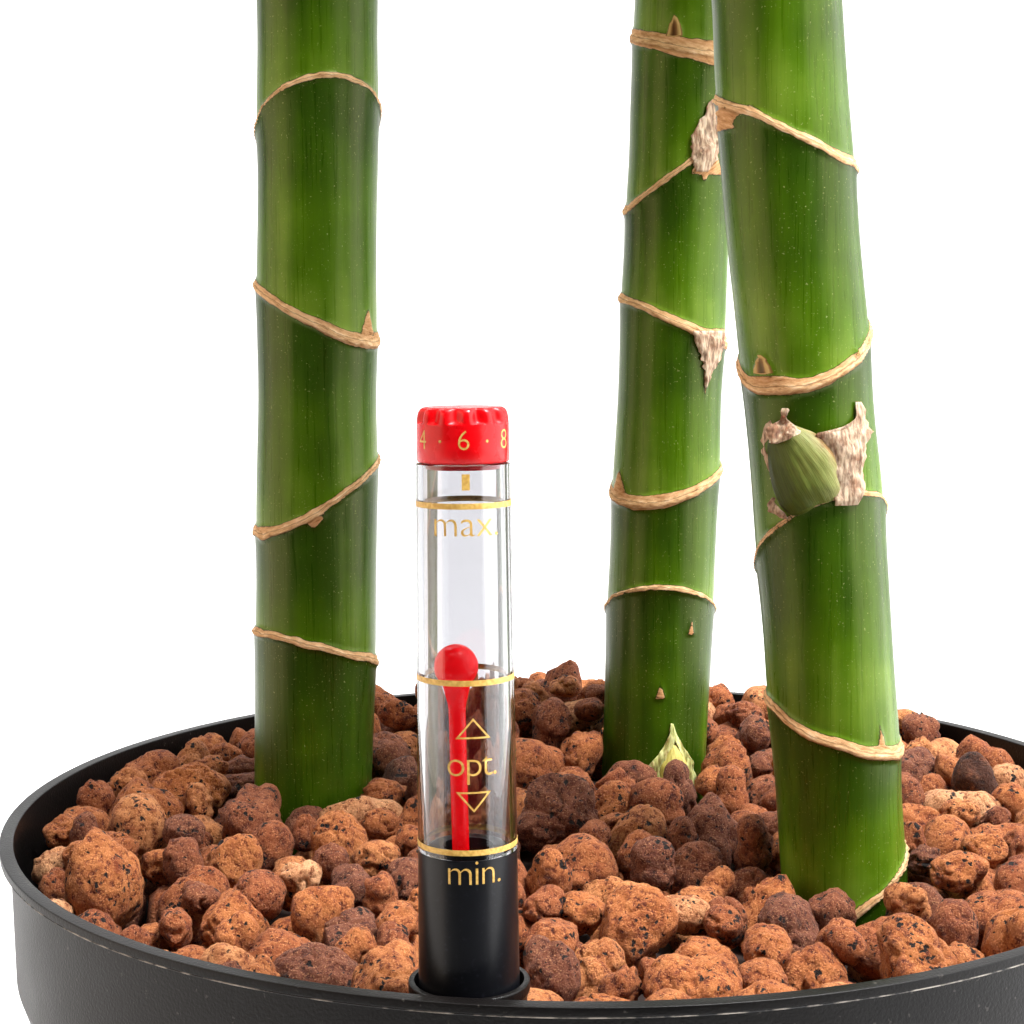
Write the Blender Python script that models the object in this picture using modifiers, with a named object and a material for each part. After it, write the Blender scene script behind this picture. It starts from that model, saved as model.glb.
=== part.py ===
"""Potted dracaena: three canes in expanded clay granules, in a culture pot with a water gauge.

Units are metres and +Z is up. The origin is the centre of the pot's flat base, the front
of the pot, where the water gauge stands, is at -Y.
"""
import math

import bmesh
import bpy
import numpy as np
from mathutils import Vector
from mathutils.bvhtree import BVHTree

# --- Driving dimensions ---
GAP = 0.0003            # running gap between neighbouring solids
POT_HEIGHT = 0.190
RIM_RADIUS = 0.110
WALL = 0.002
FLOOR = 0.003
LIP_HEIGHT = 0.0018
LIP_OVERHANG = 0.0019
BAND_HEIGHT = 0.025     # upright band under the lip
BAND_STEP = 0.0045      # how far the wall draws in under the band
BASE_RADIUS = 0.096
POT_STEPS = 56

GAUGE_X = -0.0156       # the gauge's upright axis
GAUGE_Y = -0.0973
GAUGE_STEPS = 24
COLLAR_DROP = 0.0007    # the shaft's collar ends this much below the rim
SHAFT_RADIUS = 0.0083
SHAFT_BORE = 0.0077
TUBE_RIM_RADIUS = 0.00724   # clear tube, outer radius level with the rim
TUBE_DRAFT = 0.0091     # loss of radius per metre of height, as a ratio
TUBE_WALL = 0.0010
TUBE_TOP = 0.0732       # heights from here on are above the rim
TUBE_FOOT = -0.040
SLEEVE_TOP = 0.0190
SLEEVE_RADIUS = 0.0056
SLEEVE_FOOT_RADIUS = 0.0073
SLEEVE_WALL = 0.0009
GUIDE_BORE = 0.0036     # the rod's hole in the sleeve's top, too small for the ball
DIAL_RADIUS = 0.0064
DIAL_BOTTOM = 0.0736
DIAL_TOP = 0.0811
DIAL_SHOULDER = 0.0022
DIAL_PLUG = 0.0010      # depth of the plug that centres it in the tube
BALL_RADIUS = 0.00315
BALL_HEIGHT = 0.0446
BALL_OFFSET = -0.00135  # the loose float stands this far off the tube's axis
ROD_RADIUS = 0.0012
ROD_LEAN = 0.014        # sideways shift of the rod per length
FLOAT_RADIUS = 0.0040
FLOAT_TOP = -0.118
FLOAT_LENGTH = 0.038

CANE_STEPS = 9          # bevel resolution, 22 sides
CANE_CLEARANCE = 0.0004
CANE_FOOT = -0.130      # lower cut end, in the granules
# Axis points (x, y, height above the rim, radius) from the foot to the crown. Then the leaves:
# how many, the bearing of the lowest in degrees, and the length of the longest.
CANES = {
    "left": {
        "axis": [(-0.0590, 0.022, CANE_FOOT, 0.0124), (-0.0562, 0.022, -0.010, 0.0126),
                 (-0.0543, 0.022, 0.040, 0.0127), (-0.0529, 0.022, 0.100, 0.0125),
                 (-0.0517, 0.022, 0.160, 0.0123), (-0.0500, 0.023, 0.240, 0.0112),
                 (-0.0490, 0.024, 0.315, 0.0090)],
        "leaves": 8, "turn": 72.0, "length": 0.185,
    },
    "back": {
        "axis": [(0.0120, 0.043, CANE_FOOT, 0.0116), (0.0171, 0.043, 0.000, 0.0117),
                 (0.0200, 0.043, 0.065, 0.0117), (0.0225, 0.043, 0.120, 0.0115),
                 (0.0243, 0.043, 0.162, 0.0113), (0.0290, 0.044, 0.280, 0.0104),
                 (0.0330, 0.045, 0.405, 0.0080)],
        "leaves": 9, "turn": 144.0, "length": 0.205,
    },
    "right": {
        "axis": [(0.0560, -0.026, CANE_FOOT, 0.0112), (0.0486, -0.026, -0.010, 0.0115),
                 (0.0438, -0.026, 0.054, 0.0117), (0.0405, -0.026, 0.090, 0.0118),
                 (0.0374, -0.026, 0.120, 0.0119), (0.0350, -0.026, 0.155, 0.0112),
                 (0.0310, -0.027, 0.235, 0.0090)],
        "leaves": 8, "turn": 72.0, "length": 0.165,
    },
}
LEAF_TURN = 137.5       # degrees round the cane from one leaf to the next
LEAF_SPACING = 0.0085
LEAF_THICKNESS = 0.0008
LEAF_STEPS = 11

BED_LEVEL = -0.0125     # settled granules, under the top layer
BED_TILT = 0.045        # ... which lie higher toward the back, as a ratio
MOUND = (-0.005, 0.060, 0.011, 0.017)   # x, y, height and spread of the heap behind the canes
BED_STEPS = 40
BED_RINGS = 10
FIXED_GRANULES = 66     # in the bed's top layer, part of the bed's solid
LOOSE_GRANULES = 16     # lying on it, each a solid of its own
GRANULE_SINK = 0.72     # height of a fixed granule's centre, as a share of its radius
GRANULE_SMALLEST = 0.0056
GRANULE_LARGEST = 0.0092
GRANULE_SEED = 11

PLASTIC = ((0.020, 0.021, 0.024), 0.5)
CLEAR = ((0.85, 0.85, 0.88), 0.08)
BLACK = ((0.010, 0.010, 0.014), 0.35)
RED = ((0.75, 0.005, 0.004), 0.3)
FOAM = ((0.85, 0.84, 0.80), 0.9)
CLAY = ((0.32, 0.13, 0.065), 0.95)
BARK = ((0.055, 0.16, 0.012), 0.4)
BUD = ((0.20, 0.34, 0.06), 0.45)
LEAF = ((0.035, 0.12, 0.015), 0.35)


# --- Helpers ---
def clear_scene():
    for obj in list(bpy.data.objects):
        bpy.data.objects.remove(obj, do_unlink=True)


def new_collection(name):
    collection = bpy.data.collections.new(name)
    bpy.context.scene.collection.children.link(collection)
    return collection


def give_material(obj, look):
    colour, roughness = look
    material = bpy.data.materials.new(obj.name)
    material.use_nodes = True
    shader = material.node_tree.nodes["Principled BSDF"]
    shader.inputs["Base Color"].default_value = (*colour, 1.0)
    shader.inputs["Roughness"].default_value = roughness
    shader.inputs["Metallic"].default_value = 0.0
    obj.data.materials.append(material)


def place(obj, collection, look=None):
    for other in list(obj.users_collection):
        other.objects.unlink(obj)
    collection.objects.link(obj)
    if look:
        give_material(obj, look)
    else:
        obj.hide_render = True
        obj.display_type = "WIRE"
    return obj


def turned(name, profile, steps, location=(0, 0, 0), closed=False):
    """A profile of (radius, height) points, outer side top to bottom, turned about Z."""
    edges = [(i, i + 1) for i in range(len(profile) - 1)]
    if closed:
        edges.append((len(profile) - 1, 0))
    mesh = bpy.data.meshes.new(name)
    mesh.from_pydata([(radius, 0.0, height) for radius, height in profile], edges, [])
    obj = bpy.data.objects.new(name, mesh)
    obj.location = location
    turn = obj.modifiers.new("Turn", "SCREW")
    turn.axis = "Z"
    turn.steps = steps
    turn.render_steps = steps
    turn.use_merge_vertices = True
    turn.merge_threshold = 0.00001
    turn.use_smooth_shade = True
    return obj


def evaluated_copy(obj, name):
    """The object's evaluated mesh as a new mesh object, with the old one removed."""
    bpy.context.view_layer.update()
    graph = bpy.context.evaluated_depsgraph_get()
    mesh = bpy.data.meshes.new_from_object(obj.evaluated_get(graph))
    mesh.name = name
    build = bmesh.new()
    build.from_mesh(mesh)
    bmesh.ops.remove_doubles(build, verts=build.verts, dist=0.00001)
    bmesh.ops.recalc_face_normals(build, faces=build.faces)
    build.to_mesh(mesh)
    build.free()
    matrix = obj.matrix_world.copy()
    bpy.data.objects.remove(obj, do_unlink=True)
    copy = bpy.data.objects.new(name, mesh)
    copy.matrix_world = matrix
    return copy


def rod(name, points, resolution, collection):
    """A closed round rod through (x, y, z, radius) points, as a mesh."""
    curve = bpy.data.curves.new(name, "CURVE")
    curve.dimensions = "3D"
    curve.bevel_depth = 1.0
    curve.bevel_resolution = resolution
    curve.use_fill_caps = True
    spline = curve.splines.new("POLY")
    spline.points.add(len(points) - 1)
    for point, (x, y, z, radius) in zip(spline.points, points):
        point.co = (x, y, z, 1.0)
        point.radius = radius
    guide = bpy.data.objects.new(name + "_guide", curve)
    collection.objects.link(guide)
    return evaluated_copy(guide, name)


def boolean(obj, cutter, operation):
    cut = obj.modifiers.new(operation.title(), "BOOLEAN")
    cut.object = cutter
    cut.operation = operation
    cut.solver = "EXACT"


# --- Pot ---
def pot_outline(inset=0.0):
    """Outer wall of the pot, top to bottom, drawn in by inset."""
    wall = RIM_RADIUS - LIP_OVERHANG
    body = wall - BAND_STEP
    band = POT_HEIGHT - BAND_HEIGHT
    points = [
        (wall, POT_HEIGHT - LIP_HEIGHT),
        (wall - 0.0003, band),
        (wall - 0.0018, band - 0.0045),
        (body, band - 0.0090),
        (BASE_RADIUS + 0.0020, 0.0020),
    ]
    return [(radius - inset, height) for radius, height in points]


def make_pot(parts, cutters):
    outer = pot_outline()
    inner = pot_outline(WALL)
    mouth = inner[0][0] + 0.0009
    profile = [(0.0, FLOOR), (BASE_RADIUS - WALL, FLOOR)]
    profile += [(radius, height) for radius, height in reversed(inner[1:-1])]
    profile += [(inner[0][0], POT_HEIGHT - 0.0012), (mouth, POT_HEIGHT)]
    profile += [(RIM_RADIUS - 0.0004, POT_HEIGHT), (RIM_RADIUS, POT_HEIGHT - 0.0004)]
    profile += [(RIM_RADIUS, POT_HEIGHT - LIP_HEIGHT)]
    profile += outer + [(BASE_RADIUS, 0.0), (0.0, 0.0)]
    pot = place(turned("culture_pot", profile, POT_STEPS), parts, PLASTIC)

    # The gauge's shaft is moulded on: a full round tube from the floor to the collar.
    bottom = FLOOR * 0.2
    top = POT_HEIGHT - COLLAR_DROP
    centre = (GAUGE_X, GAUGE_Y, 0.0)
    shaft_profile = [(0.0, top), (SHAFT_RADIUS - 0.0003, top), (SHAFT_RADIUS, top - 0.0005),
                     (SHAFT_RADIUS, bottom), (0.0, bottom)]
    shaft = place(turned("shaft_solid", shaft_profile, GAUGE_STEPS, centre), cutters)
    bore_profile = [(0.0, top + 0.01), (SHAFT_BORE, top + 0.01), (SHAFT_BORE, FLOOR), (0.0, FLOOR)]
    bore = place(turned("shaft_bore", bore_profile, GAUGE_STEPS, centre), cutters)
    bpy.ops.mesh.primitive_cube_add(size=1.0)
    slot = bpy.context.object
    slot.name = "water_slot"
    slot.scale = (0.003, 0.012, 0.024)
    slot.location = (GAUGE_X, GAUGE_Y + SHAFT_BORE + 0.002, FLOOR + 0.013)
    place(slot, cutters)
    boolean(pot, shaft, "UNION")
    boolean(pot, bore, "DIFFERENCE")
    boolean(pot, slot, "DIFFERENCE")


# --- Canes ---
def above_rim(points, extra=0.0):
    return [(x, y, POT_HEIGHT + z, radius + extra) for x, y, z, radius in points]


def axis_at(cane, height):
    """Axis point and radius of a cane at a height above the rim."""
    points = np.array(CANES[cane]["axis"])
    return [float(np.interp(height, points[:, 2], points[:, k])) for k in (0, 1, 3)]


def make_canes(parts, cutters):
    """Each cane, and beside it a slightly wider copy that cuts its hole."""
    holes = {}
    for side, cane in CANES.items():
        points = above_rim(cane["axis"])
        x, y, z, radius = points[-1]
        points.append((x, y, z + 0.6 * radius, 0.45 * radius))
        place(rod("cane_" + side, points, CANE_STEPS, parts), parts, BARK)
        wide = above_rim(cane["axis"], CANE_CLEARANCE)
        x, y, z, radius = wide[0]
        wide[0] = (x, y, z - CANE_CLEARANCE, radius)
        holes[side] = place(rod("hole_" + side, wide, CANE_STEPS, parts), cutters)
    return holes


def make_bud(name, side, height, turn, size, lean, holes, parts):
    """A pointed bud pressed against a cane: turn is its bearing, 0 is toward -Y."""
    x, y, radius = axis_at(side, height)
    width, depth, length = size
    bearing = math.radians(turn)
    reach = radius + depth * 0.30
    bpy.ops.mesh.primitive_uv_sphere_add(segments=14, ring_count=8, radius=1.0)
    bud = bpy.context.object
    bud.name = name
    for vertex in bud.data.vertices:
        taper = 1.0 - 0.62 * max(vertex.co.z, 0.0) ** 1.6
        vertex.co.x *= taper * width / 2
        vertex.co.y *= taper * depth / 2
        vertex.co.z *= length / 2
    bud.rotation_euler = (0.0, math.radians(lean), bearing)
    bud.location = (x + reach * math.sin(bearing), y - reach * math.cos(bearing),
                    POT_HEIGHT + height)
    bud.data.shade_smooth()
    place(bud, parts, BUD)
    boolean(bud, holes[side], "DIFFERENCE")


# --- Leaves ---
def leaf_sheet(side, index, count):
    """Rows of points of one strap leaf, which clasps the cane and then arches away from it."""
    cane = CANES[side]
    crown = cane["axis"][-1][2]
    height = crown - (count - 1 - index) * LEAF_SPACING - 0.001
    x0, y0, radius = axis_at(side, height)
    bearing = math.radians(cane["turn"] + LEAF_TURN * index)
    youth = index / (count - 1)
    length = cane["length"] * (1.0 - 0.22 * youth)
    launch = math.radians(42.0 + 40.0 * youth)
    droop = math.radians(52.0 - 34.0 * youth)
    half_width = 0.0155 - 0.003 * youth
    rows = []
    reach = radius + GAP + LEAF_THICKNESS / 2 + 0.0001
    rise = height
    for step in range(LEAF_STEPS + 1):
        s = step / LEAF_STEPS
        slope = launch - droop * s ** 1.4
        if step:
            reach += length / LEAF_STEPS * math.cos(slope)
            rise += length / LEAF_STEPS * math.sin(slope)
        spread = half_width * (0.55 + 0.45 * math.sin(math.pi * min(s * 1.6, 0.5)))
        spread *= max(1.0 - s ** 3.2, 0.03)
        row = []
        for across in (-1.0, -0.5, 0.0, 0.5, 1.0):
            angle = bearing + across * spread / reach
            fold = abs(across) * spread * 0.30 * min(s * 4.0, 1.0)
            row.append((x0 + reach * math.cos(angle), y0 + reach * math.sin(angle),
                        POT_HEIGHT + rise + fold))
        rows.append(row)
    return rows


def make_leaf(side, index, count, parts):
    name = "leaf_%s_%d" % (side, index + 1)
    rows = leaf_sheet(side, index, count)
    wide = len(rows[0])
    points = [point for row in rows for point in row]
    faces = [(r * wide + c, r * wide + c + 1, (r + 1) * wide + c + 1, (r + 1) * wide + c)
             for r in range(len(rows) - 1) for c in range(wide - 1)]
    mesh = bpy.data.meshes.new(name)
    mesh.from_pydata(points, [], faces)
    mesh.shade_smooth()
    leaf = bpy.data.objects.new(name, mesh)
    skin = leaf.modifiers.new("Skin", "SOLIDIFY")
    skin.thickness = LEAF_THICKNESS
    skin.offset = 0.0
    place(leaf, parts, LEAF)


# --- Granules ---
def bed_height(x, y):
    """Top of the settled granules, in metres above the rim."""
    mx, my, tall, spread = MOUND
    heap = tall * math.exp(-((x - mx) ** 2 + (y - my) ** 2) / (2 * spread ** 2))
    return BED_LEVEL + BED_TILT * y + heap


def make_bed(parts, cutters, holes):
    """A turned plug that fills the pot, with its top raised to the granules' level."""
    clearance = WALL + GAP + 0.0001
    wall = [point for point in pot_outline(clearance) if point[1] < POT_HEIGHT + BED_LEVEL]
    rim = wall[0][0]
    level = POT_HEIGHT + BED_LEVEL
    profile = [(rim * ring / BED_RINGS, level) for ring in range(BED_RINGS)]
    profile += [(rim, level)] + wall
    profile[-1] = (BASE_RADIUS - clearance, FLOOR + GAP)
    profile += [(0.0, FLOOR + GAP)]
    bed = turned("granule_bed", profile, BED_STEPS)
    parts.objects.link(bed)
    bed = place(evaluated_copy(bed, "granule_bed"), parts, CLAY)
    for vertex in bed.data.vertices:
        if vertex.co.z > level - 0.0001:
            vertex.co.z = POT_HEIGHT + bed_height(vertex.co.x, vertex.co.y)
    clear = SHAFT_RADIUS + GAP
    top = POT_HEIGHT + 0.02
    profile = [(0.0, top), (clear, top), (clear, 0.0), (0.0, 0.0)]
    gauge_hole = turned("gauge_hole", profile, GAUGE_STEPS, (GAUGE_X, GAUGE_Y, 0.0))
    boolean(bed, place(gauge_hole, cutters), "DIFFERENCE")
    for hole in holes.values():
        boolean(bed, hole, "DIFFERENCE")


def clear_of_uprights(x, y, radius):
    limit = RIM_RADIUS - LIP_OVERHANG - WALL - 0.0006
    if math.hypot(x, y) + radius > limit:
        return False
    if math.hypot(x - GAUGE_X, y - GAUGE_Y) < radius + SHAFT_RADIUS + GAP:
        return False
    for side in CANES:
        cx, cy, thick = axis_at(side, -0.004)
        if math.hypot(x - cx, y - cy) < radius + thick + 0.0012:
            return False
    # The bud at the back cane's foot keeps its own room in front of the cane.
    cx, cy, thick = axis_at("back", 0.004)
    return math.hypot(x - cx, y - cy + thick + 0.002) > radius + 0.0050


def free_places(rng, radius):
    """Random places inside the pot where a ball of this radius clears the uprights."""
    for bearing, reach in rng.random((120, 2)):
        distance = RIM_RADIUS * math.sqrt(reach)
        x = distance * math.cos(2 * math.pi * bearing)
        y = distance * math.sin(2 * math.pi * bearing)
        if clear_of_uprights(x, y, radius):
            yield x, y


def spread_granules(rng, count, placed):
    """Places (x, y, radius) for granules, large ones first, each where it has most room."""
    spread = []
    for radius in np.linspace(GRANULE_LARGEST, GRANULE_SMALLEST, count):
        best, widest = None, 0.0
        for x, y in free_places(rng, radius):
            room = [math.hypot(x - px, y - py) - radius - other - 2 * GAP
                    for px, py, other in placed + spread]
            nearest = min(room, default=RIM_RADIUS)
            if nearest > widest:
                best, widest = (x, y, float(radius)), nearest
        if best:
            spread.append(best)
    return spread


def granule_object(name, balls, rng):
    """Lumpy balls of (x, y, height above the rim, radius) in one object."""
    build = bmesh.new()
    for x, y, z, radius in balls:
        made = bmesh.ops.create_icosphere(build, subdivisions=1, radius=radius)
        lumps = rng.uniform(0.93, 1.0, len(made["verts"]))
        for vertex, lump in zip(made["verts"], lumps):
            vertex.co = vertex.co * lump + Vector((x, y, POT_HEIGHT + z))
    mesh = bpy.data.meshes.new(name)
    build.to_mesh(mesh)
    build.free()
    return bpy.data.objects.new(name, mesh)


def drop_on(ground, bed, granule):
    """Lower a granule until it lies the gap above the bed's faces."""
    graph = bpy.context.evaluated_depsgraph_get()
    body = BVHTree.FromObject(granule, graph)
    falls = []
    for tree, mesh, way in ((ground, granule.data, -1.0), (body, bed, 1.0)):
        points = [vertex.co for vertex in mesh.vertices] + [face.center for face in mesh.polygons]
        hits = [tree.ray_cast(point, Vector((0.0, 0.0, way))) for point in points]
        falls += [hit[3] for hit in hits if hit[0] is not None]
    for vertex in granule.data.vertices:
        vertex.co.z -= min(falls) - GAP


def make_granules(parts, cutters):
    """The top layer joined to the bed, and the loose granules that lie on it."""
    rng = np.random.default_rng(GRANULE_SEED)
    loose = spread_granules(rng, LOOSE_GRANULES, [])
    fixed = spread_granules(rng, FIXED_GRANULES, loose)
    bpy.context.view_layer.update()
    graph = bpy.context.evaluated_depsgraph_get()
    ground = BVHTree.FromObject(parts.objects["granule_bed"], graph)
    bed = bpy.data.meshes.new_from_object(parts.objects["granule_bed"].evaluated_get(graph))
    sunk = [(x, y, bed_height(x, y) + radius * GRANULE_SINK, radius) for x, y, radius in fixed]
    layer = place(granule_object("top_layer", sunk, rng), cutters)
    boolean(parts.objects["granule_bed"], layer, "UNION")
    for number, (x, y, radius) in enumerate(loose):
        above = bed_height(x, y) + 2.5 * radius
        granule = granule_object("granule_%02d" % (number + 1), [(x, y, above, radius)], rng)
        drop_on(ground, bed, place(granule, parts, CLAY))
    bpy.data.meshes.remove(bed)


# --- Water gauge ---
def tube_radius(height):
    return TUBE_RIM_RADIUS - TUBE_DRAFT * height


def gauge_part(name, profile, look, parts, closed, origin=0.0, offset=0.0):
    """A turned piece on the gauge's axis; origin is its object's height above the rim."""
    points = [(radius, height - origin) for radius, height in profile]
    centre = (GAUGE_X + offset, GAUGE_Y, POT_HEIGHT + origin)
    return place(turned(name, points, GAUGE_STEPS, centre, closed), parts, look)


def make_gauge(parts):
    top, foot = TUBE_TOP, TUBE_FOOT
    tube = [(tube_radius(top), top), (tube_radius(foot), foot),
            (tube_radius(foot) - TUBE_WALL, foot), (tube_radius(top) - TUBE_WALL, top)]
    gauge_part("gauge_tube", tube, CLEAR, parts, True)

    # The black sleeve stands on the pot's floor and carries the tube on its shoulder.
    shoulder = TUBE_FOOT - GAP
    bottom = FLOOR + GAP - POT_HEIGHT
    plate = 0.0012
    sleeve = [
        (GUIDE_BORE, SLEEVE_TOP), (SLEEVE_RADIUS, SLEEVE_TOP), (SLEEVE_RADIUS, shoulder),
        (SLEEVE_FOOT_RADIUS, shoulder), (SLEEVE_FOOT_RADIUS, bottom),
        (SLEEVE_FOOT_RADIUS - SLEEVE_WALL, bottom),
        (SLEEVE_FOOT_RADIUS - SLEEVE_WALL, shoulder - 0.004),
        (SLEEVE_RADIUS - SLEEVE_WALL, shoulder), (SLEEVE_RADIUS - SLEEVE_WALL, SLEEVE_TOP - plate),
        (GUIDE_BORE, SLEEVE_TOP - plate),
    ]
    gauge_part("gauge_sleeve", sleeve, BLACK, parts, True)

    # The dial turns on the tube's top edge, with a plug inside the tube.
    plug = tube_radius(top) - TUBE_WALL - GAP
    side = DIAL_TOP - DIAL_SHOULDER
    dial = [
        (0.0, DIAL_TOP), (DIAL_RADIUS - 0.0018, DIAL_TOP), (DIAL_RADIUS - 0.0007, DIAL_TOP - 0.0006),
        (DIAL_RADIUS, side), (DIAL_RADIUS, DIAL_BOTTOM), (plug, DIAL_BOTTOM),
        (plug, DIAL_BOTTOM - DIAL_PLUG), (0.0, DIAL_BOTTOM - DIAL_PLUG),
    ]
    gauge_part("month_dial", dial, RED, parts, False, origin=DIAL_BOTTOM)


def lean_at(height):
    return BALL_OFFSET + ROD_LEAN * (BALL_HEIGHT - height)


def make_float(parts, cutters):
    """Red ball, neck and rod in one, and the foam float on the rod's foot."""
    foot = FLOAT_TOP - FLOAT_LENGTH * 0.6
    neck = BALL_HEIGHT - BALL_RADIUS * 0.80
    heights = [foot, neck - 0.0042, neck - 0.0020, neck, BALL_HEIGHT]
    radii = [ROD_RADIUS, ROD_RADIUS, 0.0015, 0.0020, 0.0018]
    points = [(GAUGE_X + lean_at(z), GAUGE_Y, POT_HEIGHT + z, r) for z, r in zip(heights, radii)]
    pointer = rod("float_pointer", points, 4, parts)
    place(pointer, parts, RED)
    bpy.ops.mesh.primitive_uv_sphere_add(segments=20, ring_count=12, radius=BALL_RADIUS)
    ball = bpy.context.object
    ball.name = "float_ball"
    ball.location = (GAUGE_X + lean_at(BALL_HEIGHT), GAUGE_Y, POT_HEIGHT + BALL_HEIGHT)
    boolean(pointer, place(ball, cutters), "UNION")

    bottom = FLOAT_TOP - FLOAT_LENGTH
    bore = ROD_RADIUS + GAP
    seat = foot - GAP
    body = [
        (bore, FLOAT_TOP), (FLOAT_RADIUS - 0.0006, FLOAT_TOP), (FLOAT_RADIUS, FLOAT_TOP - 0.0006),
        (FLOAT_RADIUS, bottom + 0.0006), (FLOAT_RADIUS - 0.0006, bottom), (0.0, bottom),
    ]
    # Up the blind bore that holds the rod, over the top edge and down the outside.
    profile = [(0.0, seat), (bore, seat)] + body
    foam = gauge_part("float_body", profile, FOAM, parts, False, origin=FLOAT_TOP,
                      offset=lean_at(FLOAT_TOP))
    foam.rotation_euler = (0.0, -math.atan(ROD_LEAN), 0.0)


# --- Assembly ---
def main():
    clear_scene()
    parts = new_collection("potted_dracaena")
    cutters = new_collection("cutters")
    make_pot(parts, cutters)
    holes = make_canes(parts, cutters)
    make_bed(parts, cutters, holes)
    make_granules(parts, cutters)
    make_gauge(parts)
    make_float(parts, cutters)
    make_bud("side_bud", "right", 0.0675, -26.0, (0.0145, 0.0130, 0.0185), -22.0, holes, parts)
    make_bud("base_bud", "back", 0.0040, 4.0, (0.0075, 0.0050, 0.0150), 4.0, holes, parts)
    for side, cane in CANES.items():
        for index in range(cane["leaves"]):
            make_leaf(side, index, cane["leaves"], parts)


main()
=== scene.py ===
"""Looks of the potted dracaena: pot, water gauge, clay granules, canes, buds and leaves."""
import math
from functools import partial

import bmesh
import bpy
import numpy as np
from mathutils import Matrix, Vector


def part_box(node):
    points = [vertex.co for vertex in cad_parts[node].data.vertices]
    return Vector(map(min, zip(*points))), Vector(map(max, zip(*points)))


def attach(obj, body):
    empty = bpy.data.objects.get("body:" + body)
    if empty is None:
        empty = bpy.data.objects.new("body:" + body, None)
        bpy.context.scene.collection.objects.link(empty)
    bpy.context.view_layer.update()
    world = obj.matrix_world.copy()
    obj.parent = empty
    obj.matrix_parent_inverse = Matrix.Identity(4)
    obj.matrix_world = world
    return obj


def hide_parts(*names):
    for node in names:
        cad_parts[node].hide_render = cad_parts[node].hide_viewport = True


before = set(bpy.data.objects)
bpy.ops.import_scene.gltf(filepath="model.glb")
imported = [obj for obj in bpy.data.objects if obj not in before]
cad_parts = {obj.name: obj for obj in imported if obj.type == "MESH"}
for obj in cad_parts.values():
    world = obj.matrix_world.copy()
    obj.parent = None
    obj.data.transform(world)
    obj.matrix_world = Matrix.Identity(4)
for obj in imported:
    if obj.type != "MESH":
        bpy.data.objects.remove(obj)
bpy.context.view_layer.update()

# ---------------------------------------------------------------------------
# Studio. A white paper floor that curves up into a backdrop. A wide softbox on each side leaves
# a dark gap round the camera, a small hard key hangs high on the right, two softboxes fill from
# above and behind, and the camera stands close to the front of the pot.
# ---------------------------------------------------------------------------
PLANT, DIAL, FLOAT = "potted_plant", "dial", "float"
MM = 0.001


def linear(hex_colour):
    """An sRGB hex value as a linear RGBA colour."""
    parts = [int(hex_colour[i:i + 2], 16) / 255 for i in (1, 3, 5)]
    return (*[c / 12.92 if c <= 0.04045 else ((c + 0.055) / 1.055) ** 2.4 for c in parts], 1.0)


def feed(tree, node, inputs):
    """Fills a node's inputs, each with a number, a hex colour or another node's output."""
    for name, value in inputs.items():
        if isinstance(value, bpy.types.NodeSocket):
            tree.links.new(value, node.inputs[name])
        else:
            value = linear(value) if isinstance(value, str) else value
            node.inputs[name].default_value = value


def add_node(tree, kind, inputs=None, gives=0, stops=None, **settings):
    """One shader node, with its inputs, its settings and a ramp's stops; gives one output."""
    node = tree.nodes.new("ShaderNode" + kind)
    for name, value in settings.items():
        setattr(node, name, value)
    feed(tree, node, inputs or {})
    if stops:
        elements = node.color_ramp.elements
        while len(elements) < len(stops):
            elements.new(0.5)
        for element, (place, colour) in zip(elements, stops):
            element.position = place
            element.color = linear(colour)
    return node.outputs[gives]


def new_material(name, roughness, ior=1.5, **sockets):
    """A Principled finish; gives it with add, for its nodes, and finish, for its sockets."""
    material = bpy.data.materials.new(name)
    material.use_nodes = True
    tree = material.node_tree
    shader = tree.nodes["Principled BSDF"]
    feed(tree, shader, {"Roughness": roughness, "IOR": ior})
    feed(tree, shader, {socket.replace("_", " "): value for socket, value in sockets.items()})
    return material, partial(add_node, tree), partial(feed, tree, shader)


def finish_piece(name, mesh, material, body):
    """A mesh as a smooth-shaded piece with its finish, riding on its body."""
    mesh.materials.clear()
    mesh.materials.append(material)
    mesh.shade_smooth()
    piece = bpy.data.objects.new(name, mesh)
    bpy.context.scene.collection.objects.link(piece)
    if body:
        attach(piece, body)
    return piece


def mesh_of(name, points, faces, fields=None):
    """A mesh from an (n, 3) array, an (m, k) array of faces and its point attributes."""
    mesh = bpy.data.meshes.new(name)
    sides = faces.shape[1]
    mesh.vertices.add(len(points))
    mesh.vertices.foreach_set("co", points.astype(np.float32).ravel())
    mesh.loops.add(faces.size)
    mesh.loops.foreach_set("vertex_index", faces.astype(np.int32).ravel())
    mesh.polygons.add(len(faces))
    mesh.polygons.foreach_set("loop_start", np.arange(0, faces.size, sides, dtype=np.int32))
    mesh.update(calc_edges=True)
    for key, values in (fields or {}).items():
        layer = mesh.attributes.new(key, "FLOAT", "POINT")
        layer.data.foreach_set("value", values.astype(np.float32).ravel())
    return mesh


def surface(name, points, material, body, wrap=True, fields=None):
    """A piece on a grid of points (rows, columns, xyz), with its poles and seams merged.

    Rows run down the outer side and columns run anticlockwise, so the faces point outward.
    """
    rows, columns = points.shape[:2]
    index = np.arange(rows * columns).reshape(rows, columns)
    right = np.roll(index, -1, axis=1) if wrap else index[:, 1:]
    left = index if wrap else index[:, :-1]
    quads = np.stack([left[:-1], left[1:], right[1:], right[:-1]], axis=-1).reshape(-1, 4)
    mesh = mesh_of(name, points.reshape(-1, 3), quads, fields)
    build = bmesh.new()
    build.from_mesh(mesh)
    bmesh.ops.remove_doubles(build, verts=build.verts, dist=1e-6)
    bmesh.ops.dissolve_degenerate(build, edges=build.edges, dist=1e-7)
    build.to_mesh(mesh)
    build.free()
    return finish_piece(name, mesh, material, body)


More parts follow.
